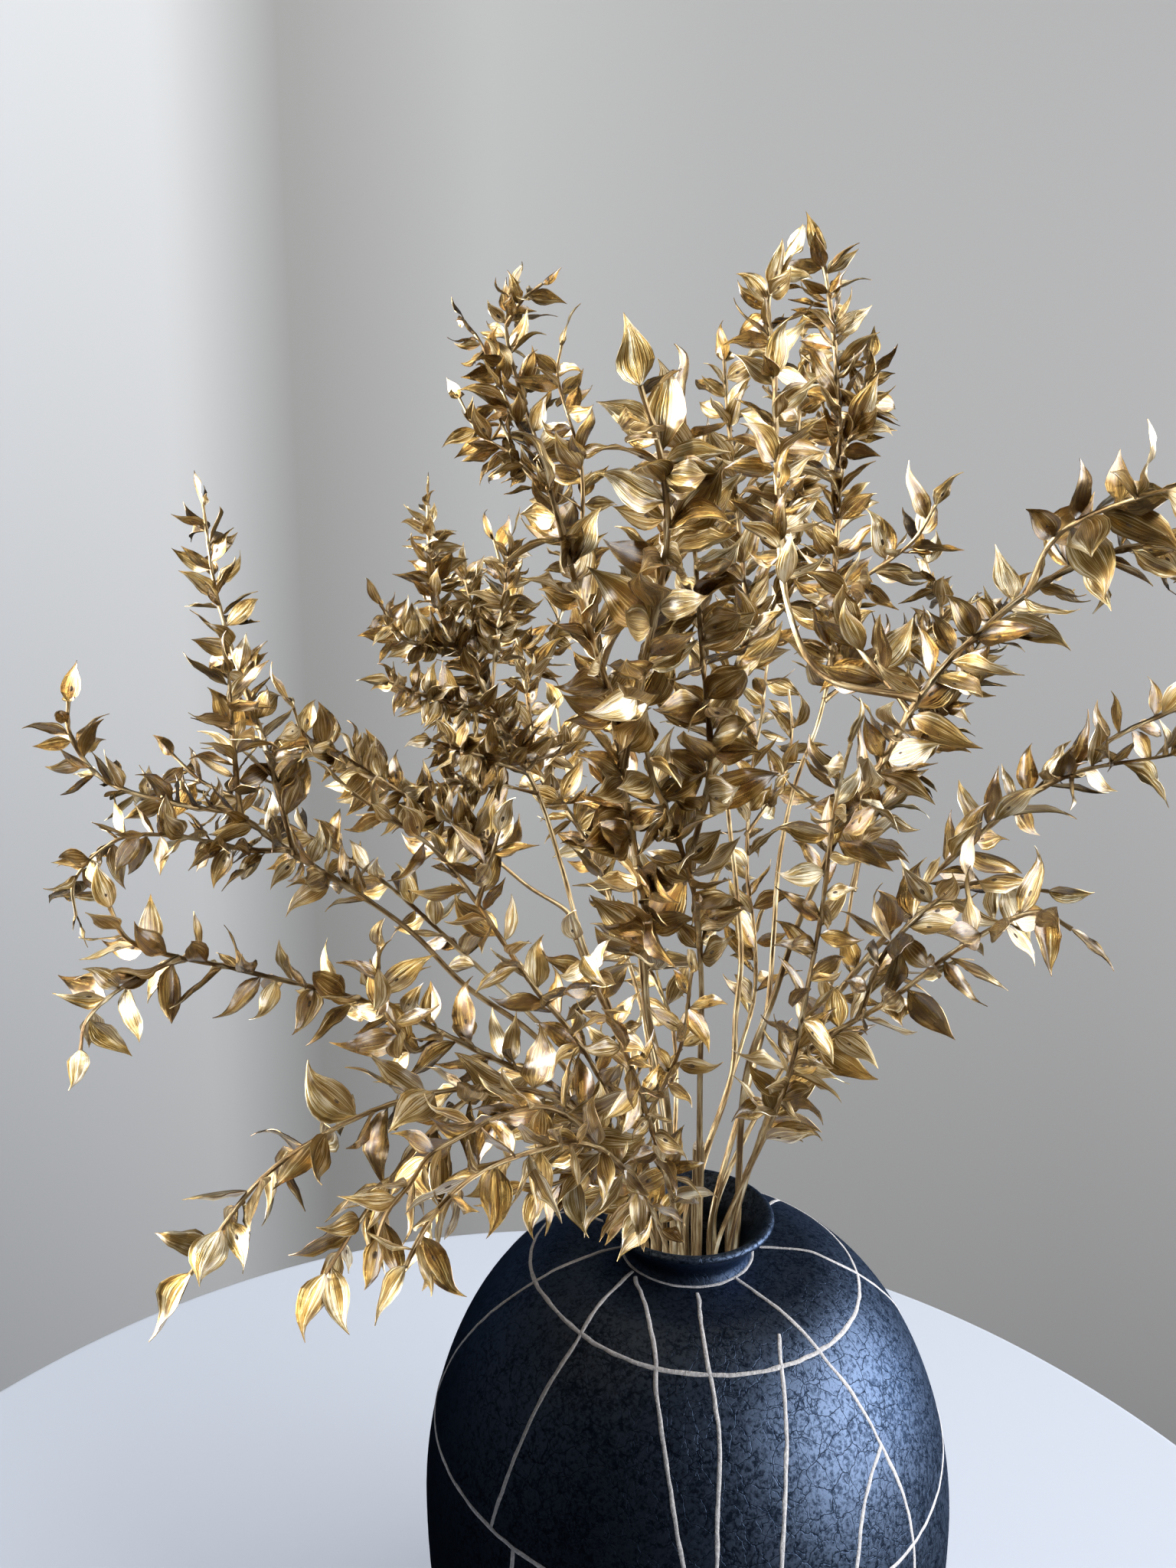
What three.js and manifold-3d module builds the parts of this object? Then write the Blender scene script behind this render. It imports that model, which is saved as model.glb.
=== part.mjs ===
// A bunch of gold-painted dried ruscus stems standing in a round stoneware vase.
// Millimetres, +Z up. The origin is the centre of the vase's foot, on the vase's axis.
import * as THREE from "three";
import Module from "manifold-3d";

// The vase: a flat foot, a round body, a level shoulder, a short neck and a flared lip.
const BODY_RADIUS = 120;
const WIDEST_HEIGHT = 122;
const SHOULDER_HEIGHT = 234;
const SHOULDER_FLAT_RADIUS = 52;
const FOOT_RADIUS = 74;
const LOWER_FULLNESS = 2.3;
const UPPER_FULLNESS = 1.88;
const WALL = 5;
const FLOOR_HEIGHT = 6;
const VASE_SIDES = 32;
const OUTSIDE_STEPS = [4, 6]; // below and above the widest height
const INSIDE_STEPS = [3, 4];
// Neck and lip as [radius, height]: from the shoulder up, over the lip and down to the shoulder's inside.
const NECK_PROFILE = [
  [29, 234.6], [28, 240], [33, 247], [38.4, 251], [37.6, 253.4],
  [34.5, 252.6], [27.5, 245], [24.6, 238], [25, 229.6],
];
const LIP_TOP = 253.4;

// Stems: each stands in its own slot of the neck, upright inside the vase.
const FOOT_HEIGHT = FLOOR_HEIGHT + 0.3;
const SLOT_HEIGHTS = [120, 222];
const LIP_HEIGHT = 247;
const LIP_SPREAD = 1.06; // how much farther out a stem is at the lip than in its slot
const STEM_SIDES = 4;
const MEAN_GIRTH = 0.78; // a stem's even radius, of its girth at the foot
const THINNEST = 0.8;
const CURVE_STEPS = 8; // fine steps between two route points
const CURVE_TOLERANCE = 1.1; // how far the stem's straight pieces may stray from its curve

// Leaves: folded blades with a pointed tip, set alternately round the stem. Shares are of the leaf's length,
// and each pair is the range a leaf's own value is drawn from.
const LENGTH_RANGE = [0.78, 1.18]; // of the strand's leaf length
const TIP_SHRINK = 0.22; // share of the length lost towards the strand's tip
const SLIM_WIDTH = 0.2; // half width of the blade
const BROAD_WIDTH = 0.26;
const WIDTH_RANGE = [0.85, 1.15];
const WIDEST_AT = 0.38;
const BROAD_RIM = [[0.24, 0.9], [0.58, 0.84]]; // [share along, share of the half width]
const KEEL_DEPTH = 0.04; // depth of the fold under the midrib
const LEAST_KEEL = 0.95;
const KEEL_AT = 0.16;
const LIFT_RANGE = [0.06, 0.36]; // how much the edges rise above the midrib, of the half width
const LEAN_RANGE = [0.65, 1.2]; // radians away from the stem
const TIP_LEAN = 0.15;
const LEAF_TURN = 2.6; // radians round the stem from one leaf to the next
const TURN_SPREAD = 0.7;
const ROLL_SPREAD = 2.2; // radians about the leaf's own midrib
const DROOP_RANGE = [0.6, 1.4]; // of the strand's droop
const STEP_SPREAD = 0.4; // of the spacing
const TIP_MARGIN = 1; // bare length left before the leaf at the tip
const SINK = 0.7; // how far a leaf's root reaches into the stem
const SEEDS = [1000, 97, 13]; // first seed, step per stem, step per strand

// Clearances. A leaf that would touch is turned and shortened a few times, and left out if it never clears.
const CLEARANCE = 0.4; // least gap between two stems
const OWN_CLEARANCE = 0.15; // least gap between leaves of one stem
const ROOT_REACH = 3; // pieces this near to a leaf's root may touch it
const VASE_CLEARANCE = 2.5;
const TRIES = 6;
const RETRY_TURN = 1.3;
const RETRY_SHRINK = 0.06;
const JOINT_TOLERANCE = 0.005;
const SMALLEST = 1e-4; // shorter cross products have no direction

// A short stem that was cut off just above the neck.
const STUB = {
  slot: [-10, 4.2], girth: 2.6, sides: 8,
  top: [4, -4, 287], cutFace: [-0.25, -0.55, 1], spare: 6,
};

const GOLD = { color: 0xb99655, metalness: 0.9, roughness: 0.4 };
const GLAZE = { color: 0x27334f, metalness: 0, roughness: 0.45 };

// Each stem: its slot in the neck [degrees, radius], its girth (radius at the foot), its leaves, and the
// route of its axis above the lip. Its shoots leave it at the nearest point to the start of their own route.
// leaf is the length of a leaf, every the spacing along the stem, start the bare share of the visible stem,
// broad 1 for the wide leaves, and droop how much the leaves hang.
const STEMS = [
  {
    name: "low_left",
    slot: [-153, 21],
    girth: 2.1,
    leaf: 32, every: 9.5, start: 0.1, broad: 1, droop: 0.3,
    route: [
      [-47, -24, 309], [-66, -31, 325], [-97, -41, 331], [-132, -54, 327], [-169, -70, 309],
      [-194, -86, 278],
    ],
    shoots: [
      {
        girth: 1.4, leaf: 28, every: 8.2, start: 0.1, broad: 0, droop: 0.4,
        route: [
          [-89, -40, 331], [-109, -60, 319], [-127, -83, 303], [-139, -104, 290],
        ],
      },
    ],
  },
  {
    name: "low_drooping",
    slot: [-119, 21],
    girth: 1.9,
    leaf: 27, every: 8.2, start: 0.05, broad: 0, droop: 0.4,
    route: [
      [-37, -60, 313], [-52, -74, 325], [-61, -84, 328], [-76, -100, 331], [-86, -114, 332],
      [-94, -127, 330], [-98, -138, 328], [-102, -152, 324],
    ],
    shoots: [
      {
        girth: 1.1, leaf: 25, every: 8.2, start: 0.1, broad: 0, droop: 0.6,
        route: [
          [-37, -60, 313], [-57, -72, 307], [-69, -78, 310],
        ],
      },
    ],
  },
  {
    name: "low_left_front",
    slot: [-136, 21],
    girth: 1.9,
    leaf: 28, every: 8.2, start: 0.08, broad: 0, droop: 0.4,
    route: [
      [-44, -44, 312], [-62, -59, 332], [-79, -73, 335], [-91, -84, 333], [-102, -96, 331],
      [-108, -105, 325], [-114, -116, 321], [-116, -124, 316],
    ],
    shoots: [],
  },
  {
    name: "low_centre",
    slot: [-100, 21],
    girth: 1.9,
    leaf: 21, every: 7.6, start: 0.15, broad: 0, droop: 0.1,
    route: [
      [-23, -52, 331], [-29, -66, 353], [-35, -81, 373], [-41, -95, 392], [-45, -107, 406],
      [-49, -118, 420],
    ],
    shoots: [
      {
        girth: 1.1, leaf: 20, every: 10.2, start: 0.2, broad: 0, droop: 0.1,
        route: [
          [-20, -48, 324], [-10, -67, 360], [-8, -86, 397],
        ],
      },
    ],
  },
  {
    name: "big_leaf_left",
    slot: [-122, 12],
    girth: 2.2,
    leaf: 28, every: 9.8, start: 0.42, broad: 1, droop: 0.0,
    route: [
      [-11, -18, 314], [-21, -32, 365], [-22, -42, 403], [-30, -57, 449], [-35, -69, 486],
      [-47, -84, 526], [-57, -100, 563],
    ],
    shoots: [
      {
        girth: 1.7, leaf: 27, every: 9.3, start: 0.2, broad: 1, droop: 0.0,
        route: [
          [-33, -66, 466], [-25, -87, 511], [-20, -106, 546], [-23, -121, 571],
          [-30, -134, 590],
        ],
      },
    ],
  },
  {
    name: "centre",
    slot: [-70, 11.5],
    girth: 2.3,
    leaf: 27, every: 10.2, start: 0.6, broad: 1, droop: 0.1,
    route: [
      [2, -24, 329], [1, -34, 368], [-1, -41, 393], [-4, -47, 415], [-9, -52, 432],
      [-15, -57, 448], [-21, -62, 462], [-24, -66, 475],
    ],
    shoots: [
      {
        girth: 1.3, leaf: 26, every: 9.3, start: 0.15, broad: 1, droop: 0.0,
        route: [
          [-7, -48, 427], [0, -58, 464], [-5, -71, 510], [-9, -82, 544], [-15, -98, 591],
        ],
      },
    ],
  },
  {
    name: "right_low",
    slot: [-35, 21],
    girth: 1.9,
    leaf: 28, every: 8.9, start: 0.25, broad: 0, droop: 0.15,
    route: [
      [33, -26, 318], [44, -37, 345], [72, -57, 376], [94, -74, 404], [113, -89, 420],
      [122, -96, 416],
    ],
    shoots: [
      {
        girth: 1.2, leaf: 28, every: 8.2, start: 0.1, broad: 0, droop: 0.1,
        route: [
          [58, -48, 364], [70, -53, 394], [97, -60, 422], [125, -66, 421],
        ],
      },
    ],
  },
  {
    name: "right_mid",
    slot: [20, 21],
    girth: 2.3,
    leaf: 29, every: 9.5, start: 0.2, broad: 0, droop: 0.0,
    route: [
      [50, 18, 312], [66, 23, 343], [94, 30, 376], [112, 34, 399], [157, 42, 436],
      [198, 49, 462], [245, 56, 483], [263, 60, 500],
    ],
    shoots: [
      {
        girth: 1.3, leaf: 28, every: 8.9, start: 0.1, broad: 0, droop: 0.2,
        route: [
          [157, 42, 436], [175, 34, 448], [209, 20, 458], [222, 14, 464],
        ],
      },
    ],
  },
  {
    name: "left_low_far",
    slot: [-171, 21],
    girth: 2.1,
    leaf: 28, every: 8.2, start: 0.2, broad: 0, droop: -0.05,
    route: [
      [-54, -10, 313], [-84, -13, 331], [-131, -18, 357], [-186, -24, 375], [-231, -29, 390],
      [-237, -30, 404],
    ],
    shoots: [
      {
        girth: 1.2, leaf: 26, every: 8.2, start: 0.1, broad: 0, droop: 0.15,
        route: [
          [-211, -26, 381], [-229, -41, 375], [-240, -53, 365], [-240, -60, 356],
        ],
      },
      {
        girth: 1.2, leaf: 27, every: 9.5, start: 0.15, broad: 0, droop: 0.0,
        route: [
          [-107, -16, 345], [-117, -27, 341], [-122, -36, 355], [-126, -45, 367],
          [-123, -66, 400],
        ],
      },
    ],
  },
  {
    name: "left_upper",
    slot: [171, 21],
    girth: 2.3,
    leaf: 24, every: 8.9, start: 0.52, broad: 0, droop: 0.0,
    route: [
      [-51, 20, 306], [-72, 26, 328], [-102, 32, 348], [-126, 38, 371], [-151, 43, 388],
      [-186, 50, 408], [-211, 55, 424], [-234, 58, 427], [-276, 65, 439], [-292, 70, 461],
      [-292, 72, 475],
    ],
    shoots: [
      {
        girth: 1.3, leaf: 24, every: 8.2, start: 0.08, broad: 0, droop: 0.1,
        route: [
          [-186, 50, 408], [-200, 48, 408], [-237, 41, 417], [-259, 37, 416], [-279, 33, 397],
          [-278, 30, 382],
        ],
      },
      {
        girth: 1.5, leaf: 26, every: 8.9, start: 0.12, broad: 0, droop: -0.1,
        route: [
          [-182, 49, 407], [-198, 64, 458], [-208, 72, 482], [-223, 85, 527], [-230, 96, 567],
        ],
      },
      {
        girth: 1.4, leaf: 27, every: 8.2, start: 0.2, broad: 0, droop: -0.1,
        route: [
          [-208, 54, 424], [-206, 45, 447], [-201, 26, 493],
        ],
      },
    ],
  },
  {
    name: "right_arch",
    slot: [-8, 21],
    girth: 2.4,
    leaf: 30, every: 9.5, start: 0.46, broad: 0, droop: 0.1,
    route: [
      [23, -14, 326], [33, -18, 362], [41, -21, 393], [50, -24, 419], [61, -27, 447],
      [72, -29, 465], [80, -31, 483], [94, -34, 504], [104, -36, 514], [113, -37, 523],
      [127, -40, 534], [140, -42, 541], [157, -44, 546], [174, -46, 546], [188, -48, 537],
      [197, -50, 522],
    ],
    shoots: [
      {
        girth: 1.8, leaf: 26, every: 7.6, start: 0.36, broad: 0, droop: 0.0,
        route: [
          [85, -26, 489], [49, -10, 496], [37, 1, 522], [34, 18, 567], [34, 37, 619],
          [33, 50, 654], [42, 56, 671],
        ],
      },
      {
        girth: 1.3, leaf: 30, every: 10.2, start: 0.3, broad: 1, droop: 0.1,
        route: [
          [121, -38, 529], [124, -53, 550], [148, -80, 564], [157, -90, 564],
        ],
      },
      {
        girth: 1.3, leaf: 25, every: 8.2, start: 0.15, broad: 0, droop: 0.0,
        route: [
          [42, 4, 507], [58, -3, 523], [83, -15, 549], [89, -20, 562],
        ],
      },
    ],
  },
  {
    name: "left_cross",
    slot: [-178, 13],
    girth: 1.9,
    leaf: 26, every: 8.9, start: 0.25, broad: 0, droop: 0.0,
    route: [
      [-46, -14, 335], [-67, -18, 365], [-78, -20, 383], [-90, -22, 403], [-101, -25, 420],
      [-110, -26, 430], [-126, -28, 442], [-138, -30, 451],
    ],
    shoots: [
      {
        girth: 1.0, leaf: 24, every: 10.2, start: 0.2, broad: 0, droop: -0.2,
        route: [
          [-90, -22, 403], [-84, -34, 422], [-79, -44, 439],
        ],
      },
    ],
  },
  {
    name: "right_inner",
    slot: [-60, 21],
    girth: 1.7,
    leaf: 22, every: 8.2, start: 0.25, broad: 0, droop: 0.0,
    route: [
      [30, -34, 311], [36, -43, 339], [40, -60, 391], [41, -69, 414], [41, -87, 461],
      [43, -96, 481],
    ],
    shoots: [],
  },
  {
    name: "mid_left",
    slot: [132, 21],
    girth: 2.2,
    leaf: 21, every: 6.9, start: 0.6, broad: 0, droop: 0.0,
    route: [
      [-33, 42, 328], [-47, 51, 361], [-58, 60, 399], [-69, 69, 431], [-82, 75, 455],
      [-92, 80, 474], [-102, 85, 490], [-111, 89, 504], [-117, 92, 517], [-121, 97, 538],
      [-123, 104, 567],
    ],
    shoots: [
      {
        girth: 1.2, leaf: 25, every: 8.2, start: 0.3, broad: 0, droop: 0.0,
        route: [
          [-49, 54, 368], [-56, 50, 379], [-73, 44, 392], [-104, 30, 424], [-122, 23, 437],
          [-152, 9, 461], [-164, 4, 469], [-167, 0, 481],
        ],
      },
      {
        girth: 1.1, leaf: 20, every: 6.9, start: 0.1, broad: 0, droop: 0.0,
        route: [
          [-108, 88, 500], [-131, 73, 504], [-140, 60, 521],
        ],
      },
      {
        girth: 1.1, leaf: 21, every: 7.6, start: 0.2, broad: 0, droop: 0.2,
        route: [
          [-77, 72, 439], [-97, 50, 453], [-115, 30, 463],
        ],
      },
      {
        girth: 1.1, leaf: 21, every: 6.9, start: 0.2, broad: 0, droop: 0.2,
        route: [
          [-88, 78, 467], [-124, 49, 482], [-134, 40, 488],
        ],
      },
      {
        girth: 1.1, leaf: 20, every: 6.9, start: 0.1, broad: 0, droop: 0.0,
        route: [
          [-99, 84, 485], [-103, 107, 517], [-108, 120, 536],
        ],
      },
      {
        girth: 1.1, leaf: 21, every: 6.9, start: 0.25, broad: 0, droop: 0.1,
        route: [
          [-92, 80, 474], [-88, 83, 506], [-84, 88, 531], [-82, 93, 552],
        ],
      },
      {
        girth: 1.0, leaf: 20, every: 6.9, start: 0.3, broad: 0, droop: 0.1,
        route: [
          [-69, 69, 431], [-94, 60, 438], [-116, 49, 439],
        ],
      },
    ],
  },
  {
    name: "top_right",
    slot: [25, 12],
    girth: 2.0,
    leaf: 26, every: 8.9, start: 0.55, broad: 0, droop: 0.0,
    route: [
      [38, 34, 331], [42, 43, 369], [45, 51, 404], [53, 59, 439], [63, 65, 464], [69, 71, 488],
      [71, 76, 514], [72, 82, 538], [74, 88, 565], [75, 94, 592], [74, 100, 620],
      [72, 107, 649], [69, 111, 671], [67, 115, 684],
    ],
    shoots: [
      {
        girth: 1.1, leaf: 25, every: 8.2, start: 0.15, broad: 0, droop: 0.1,
        route: [
          [75, 92, 588], [87, 103, 617], [90, 110, 636],
        ],
      },
      {
        girth: 1.2, leaf: 22, every: 8.2, start: 0.2, broad: 0, droop: 0.0,
        route: [
          [71, 72, 474], [101, 82, 498], [116, 85, 503], [126, 89, 514], [118, 96, 542],
        ],
      },
    ],
  },
  {
    name: "top_left",
    slot: [170, 4],
    girth: 2.1,
    leaf: 24, every: 8.2, start: 0.66, broad: 0, droop: 0.0,
    route: [
      [-12, 12, 303], [-18, 23, 335], [-24, 44, 398], [-31, 64, 460], [-38, 73, 488],
      [-43, 81, 513], [-56, 93, 552], [-69, 106, 594], [-82, 119, 636], [-85, 124, 654],
      [-81, 130, 673],
    ],
    shoots: [
      {
        girth: 1.2, leaf: 22, every: 6.9, start: 0.2, broad: 0, droop: 0.1,
        route: [
          [-69, 104, 594], [-78, 108, 604], [-97, 123, 645], [-106, 128, 657],
        ],
      },
      {
        girth: 1.1, leaf: 22, every: 7.6, start: 0.15, broad: 0, droop: 0.1,
        route: [
          [-62, 96, 572], [-74, 102, 582], [-93, 120, 619],
        ],
      },
      {
        girth: 1.3, leaf: 24, every: 8.9, start: 0.3, broad: 0, droop: 0.1,
        route: [
          [-49, 80, 533], [-48, 82, 584], [-59, 83, 625], [-57, 84, 638],
        ],
      },
      {
        girth: 1.0, leaf: 21, every: 6.9, start: 0.3, broad: 0, droop: 0.3,
        route: [
          [-62, 96, 572], [-80, 104, 590], [-98, 111, 602], [-108, 116, 619],
        ],
      },
      {
        girth: 1.0, leaf: 21, every: 6.9, start: 0.2, broad: 0, droop: 0.1,
        route: [
          [-85, 124, 654], [-77, 121, 665], [-67, 118, 672],
        ],
      },
    ],
  },
  {
    name: "right_cut",
    slot: [48, 21],
    girth: 2.2,
    leaf: 0, every: 0, start: 0, broad: 0, droop: 0,
    route: [
      [49, 52, 296], [70, 69, 321], [82, 82, 342], [96, 110, 395],
    ],
    shoots: [
      {
        girth: 1.6, leaf: 28, every: 8.9, start: 0.1, broad: 0, droop: 0.0,
        route: [
          [92, 102, 375], [101, 113, 404], [129, 128, 440], [157, 145, 485], [184, 160, 523],
        ],
      },
    ],
  },
  {
    name: "left_long",
    slot: [152, 21],
    girth: 2.0,
    leaf: 24, every: 8.9, start: 0.42, broad: 0, droop: 0.0,
    route: [
      [-48, 50, 297], [-74, 62, 322], [-103, 74, 345], [-149, 92, 381], [-190, 106, 402],
      [-232, 119, 420], [-249, 124, 427], [-265, 130, 440],
    ],
    shoots: [
      {
        girth: 1.1, leaf: 22, every: 8.2, start: 0.1, broad: 0, droop: 0.1,
        route: [
          [-250, 126, 426], [-267, 132, 419], [-284, 138, 411],
        ],
      },
    ],
  },
  {
    name: "centre_back",
    slot: [85, 11.5],
    girth: 2.2,
    leaf: 27, every: 9.5, start: 0.6, broad: 0, droop: 0.0,
    route: [
      [23, 34, 304], [25, 42, 328], [28, 50, 353], [27, 59, 379], [22, 77, 436], [23, 87, 468],
      [28, 94, 490], [36, 100, 507], [33, 106, 527], [29, 120, 572], [25, 134, 621],
      [24, 140, 640],
    ],
    shoots: [
      {
        girth: 1.2, leaf: 25, every: 9.5, start: 0.1, broad: 0, droop: 0.0,
        route: [
          [37, 106, 507], [46, 110, 513], [58, 125, 553], [63, 142, 603], [67, 160, 655],
        ],
      },
    ],
  },
  {
    name: "mid_back",
    slot: [142, 12],
    girth: 1.9,
    leaf: 23, every: 8.9, start: 0.45, broad: 0, droop: 0.0,
    route: [
      [-18, 50, 324], [-28, 70, 356], [-40, 91, 390], [-55, 107, 414], [-70, 119, 432],
      [-74, 129, 450], [-78, 141, 473], [-83, 154, 499], [-89, 167, 525], [-97, 180, 552],
    ],
    shoots: [
      {
        girth: 1.1, leaf: 22, every: 8.2, start: 0.1, broad: 0, droop: 0.0,
        route: [
          [-78, 148, 473], [-68, 159, 492], [-59, 170, 513],
        ],
      },
      {
        girth: 1.1, leaf: 22, every: 8.2, start: 0.1, broad: 0, droop: 0.1,
        route: [
          [-74, 128, 438], [-59, 143, 438], [-48, 160, 450],
        ],
      },
    ],
  },
  {
    name: "back_right",
    slot: [76, 21],
    girth: 1.9,
    leaf: 26, every: 10.2, start: 0.3, broad: 0, droop: 0.0,
    route: [
      [30, 66, 298], [40, 85, 323], [42, 104, 349], [40, 123, 377], [46, 155, 429],
      [53, 172, 457], [57, 186, 482], [63, 200, 507],
    ],
    shoots: [
      {
        girth: 1.1, leaf: 25, every: 9.5, start: 0.15, broad: 0, droop: 0.0,
        route: [
          [41, 136, 399], [61, 149, 422], [68, 160, 446], [67, 170, 470],
        ],
      },
    ],
  },
  {
    name: "back_left",
    slot: [104, 21],
    girth: 1.9,
    leaf: 24, every: 10.2, start: 0.3, broad: 0, droop: 0.0,
    route: [
      [-2, 70, 308], [-12, 95, 331], [-26, 114, 348], [-38, 135, 369], [-46, 154, 391],
      [-54, 172, 413], [-60, 189, 435], [-63, 204, 455],
    ],
    shoots: [
      {
        girth: 1.1, leaf: 23, every: 9.5, start: 0.15, broad: 0, droop: 0.0,
        route: [
          [-38, 138, 369], [-31, 152, 391], [-29, 166, 414],
        ],
      },
    ],
  },
];
const wasm = await Module();
wasm.setup();
const { Manifold, Mesh } = wasm;

const add = (a, b) => [a[0] + b[0], a[1] + b[1], a[2] + b[2]];
const sub = (a, b) => [a[0] - b[0], a[1] - b[1], a[2] - b[2]];
const scale = (a, k) => [a[0] * k, a[1] * k, a[2] * k];
const dot = (a, b) => a[0] * b[0] + a[1] * b[1] + a[2] * b[2];
const cross = (a, b) => [a[1] * b[2] - a[2] * b[1], a[2] * b[0] - a[0] * b[2], a[0] * b[1] - a[1] * b[0]];
const size = (a) => Math.sqrt(dot(a, a));
const unit = (a) => scale(a, 1 / size(a));
const mix = (a, b, t) => add(scale(a, 1 - t), scale(b, t));
const between = ([low, high], share) => low + (high - low) * share;
const turned = (a, b, angle) => add(scale(a, Math.cos(angle)), scale(b, Math.sin(angle)));

// Seeded random numbers from 0 to 1 (the minimal standard generator).
function randomFrom(seed) {
  let state = seed;
  return () => {
    state = (state * 16807) % 2147483647;
    return state / 2147483647;
  };
}

// Closed body from points and triangles, turned to face outwards.
function solid(points, triangles) {
  const vertProperties = new Float32Array(points.flat());
  const bodyOf = (faces) =>
    new Manifold(new Mesh({ numProp: 3, vertProperties, triVerts: new Uint32Array(faces.flat()) }));
  const body = bodyOf(triangles);
  return body.volume() > 0 ? body : bodyOf(triangles.map(([a, b, c]) => [a, c, b]));
}

// Solid of revolution round Z: the profile starts and ends on the axis.
function revolve(profile, sides) {
  const last = profile.length - 1;
  const points = [[0, 0, profile[0][1]]];
  for (const [radius, height] of profile.slice(1, last)) {
    for (let k = 0; k < sides; k++) {
      const [x, y] = turned([radius, 0, 0], [0, radius, 0], (2 * Math.PI * k) / sides);
      points.push([x, y, height]);
    }
  }
  points.push([0, 0, profile[last][1]]);
  const at = (ring, k) => 1 + (ring - 1) * sides + (k % sides);
  const triangles = [];
  for (let k = 0; k < sides; k++) {
    triangles.push([0, at(1, k + 1), at(1, k)]);
    for (let ring = 1; ring < last - 1; ring++) {
      triangles.push([at(ring, k), at(ring, k + 1), at(ring + 1, k + 1)]);
      triangles.push([at(ring, k), at(ring + 1, k + 1), at(ring + 1, k)]);
    }
    triangles.push([at(last - 1, k), at(last - 1, k + 1), points.length - 1]);
  }
  return solid(points, triangles);
}

// Height of the body's upper half at a radius.
function upperHeight(radius, inset) {
  const share = (radius - SHOULDER_FLAT_RADIUS) / (BODY_RADIUS - inset - SHOULDER_FLAT_RADIUS);
  const rise = (1 - Math.min(1, Math.max(0, share)) ** UPPER_FULLNESS) ** (1 / UPPER_FULLNESS);
  return WIDEST_HEIGHT + (SHOULDER_HEIGHT - inset - WIDEST_HEIGHT) * rise;
}

// Body outline from the bottom to the level shoulder, drawn in by inset for the inside of the wall.
function bodyOutline(inset, bottom, [lowerSteps, upperSteps]) {
  const outline = [];
  const full = BODY_RADIUS - inset;
  const foot = FOOT_RADIUS - inset;
  for (let i = 0; i <= lowerSteps; i++) {
    const turn = (i / lowerSteps) * (Math.PI / 2);
    const radius = foot + (full - foot) * Math.sin(turn) ** (2 / LOWER_FULLNESS);
    outline.push([radius, WIDEST_HEIGHT - (WIDEST_HEIGHT - bottom) * Math.cos(turn) ** (2 / LOWER_FULLNESS)]);
  }
  for (let i = upperSteps - 1; i >= 0; i--) {
    const share = Math.sin((i / upperSteps) * (Math.PI / 2)) ** (2 / UPPER_FULLNESS);
    const radius = SHOULDER_FLAT_RADIUS + (full - SHOULDER_FLAT_RADIUS) * share;
    outline.push([radius, upperHeight(radius, inset)]);
  }
  return outline;
}

// Centripetal Catmull-Rom curve through the points.
function curveThrough(points) {
  const n = points.length;
  const all = [sub(scale(points[0], 2), points[1]), ...points, sub(scale(points[n - 1], 2), points[n - 2])];
  const out = [];
  for (let i = 1; i < n; i++) {
    const [p0, p1, p2, p3] = all.slice(i - 1, i + 3);
    const t1 = Math.sqrt(size(sub(p1, p0)));
    const t2 = t1 + Math.sqrt(size(sub(p2, p1)));
    const t3 = t2 + Math.sqrt(size(sub(p3, p2)));
    for (let k = 0; k < CURVE_STEPS; k++) {
      const t = t1 + ((t2 - t1) * k) / CURVE_STEPS;
      const a1 = mix(p0, p1, t / t1);
      const a2 = mix(p1, p2, (t - t1) / (t2 - t1));
      const a3 = mix(p2, p3, (t - t2) / (t3 - t2));
      const b1 = mix(a1, a2, t / t2);
      const b2 = mix(a2, a3, (t - t1) / (t3 - t1));
      out.push(mix(b1, b2, (t - t1) / (t2 - t1)));
    }
  }
  out.push(points[n - 1]);
  return out;
}

// Nearest point of a straight piece to a point.
function nearestOnPiece(start, end, point) {
  const span = sub(end, start);
  const t = dot(sub(point, start), span) / dot(span, span);
  return add(start, scale(span, Math.max(0, Math.min(1, t))));
}

// The fewest points of a fine line that keep it within the tolerance.
function simplified(line) {
  const start = line[0];
  const end = line[line.length - 1];
  let farthest = 0;
  let split = 0;
  for (let i = 1; i < line.length - 1; i++) {
    const away = size(sub(line[i], nearestOnPiece(start, end, line[i])));
    if (away > farthest) {
      farthest = away;
      split = i;
    }
  }
  if (farthest <= CURVE_TOLERANCE) return [start, end];
  return [...simplified(line.slice(0, split + 1)).slice(0, -1), ...simplified(line.slice(split))];
}

// Distance along a line to each of its points.
function distances(line) {
  const out = [0];
  for (let i = 1; i < line.length; i++) out.push(out[i - 1] + size(sub(line[i], line[i - 1])));
  return out;
}

// Number of the piece of a line that holds a distance.
function pieceAt(marks, distance) {
  let i = 1;
  while (i < marks.length - 1 && marks[i] < distance) i++;
  return i;
}

// Two directions square to an axis.
function squareTo(axis) {
  const helper = Math.abs(axis[2]) < 0.9 ? [0, 0, 1] : [1, 0, 0];
  const side = unit(cross(helper, axis));
  return [side, cross(axis, side)];
}

// Rings of a bar of even thickness: its edges run parallel to each piece, mitred where two pieces meet.
function ringsAlong(line, radius, sides) {
  const axes = line.slice(1).map((point, i) => unit(sub(point, line[i])));
  const [side, up] = squareTo(axes[0]);
  const corner = (k) => scale(turned(side, up, (2 * Math.PI * k) / sides), radius);
  const rings = [Array.from({ length: sides }, (_, k) => add(line[0], corner(k)))];
  axes.forEach((axis, i) => {
    const mitre = unit(add(axis, axes[Math.min(i + 1, axes.length - 1)]));
    const reach = (point) => dot(sub(line[i + 1], point), mitre) / dot(axis, mitre);
    rings.push(rings[i].map((point) => add(point, scale(axis, reach(point)))));
  });
  return rings;
}

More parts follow.
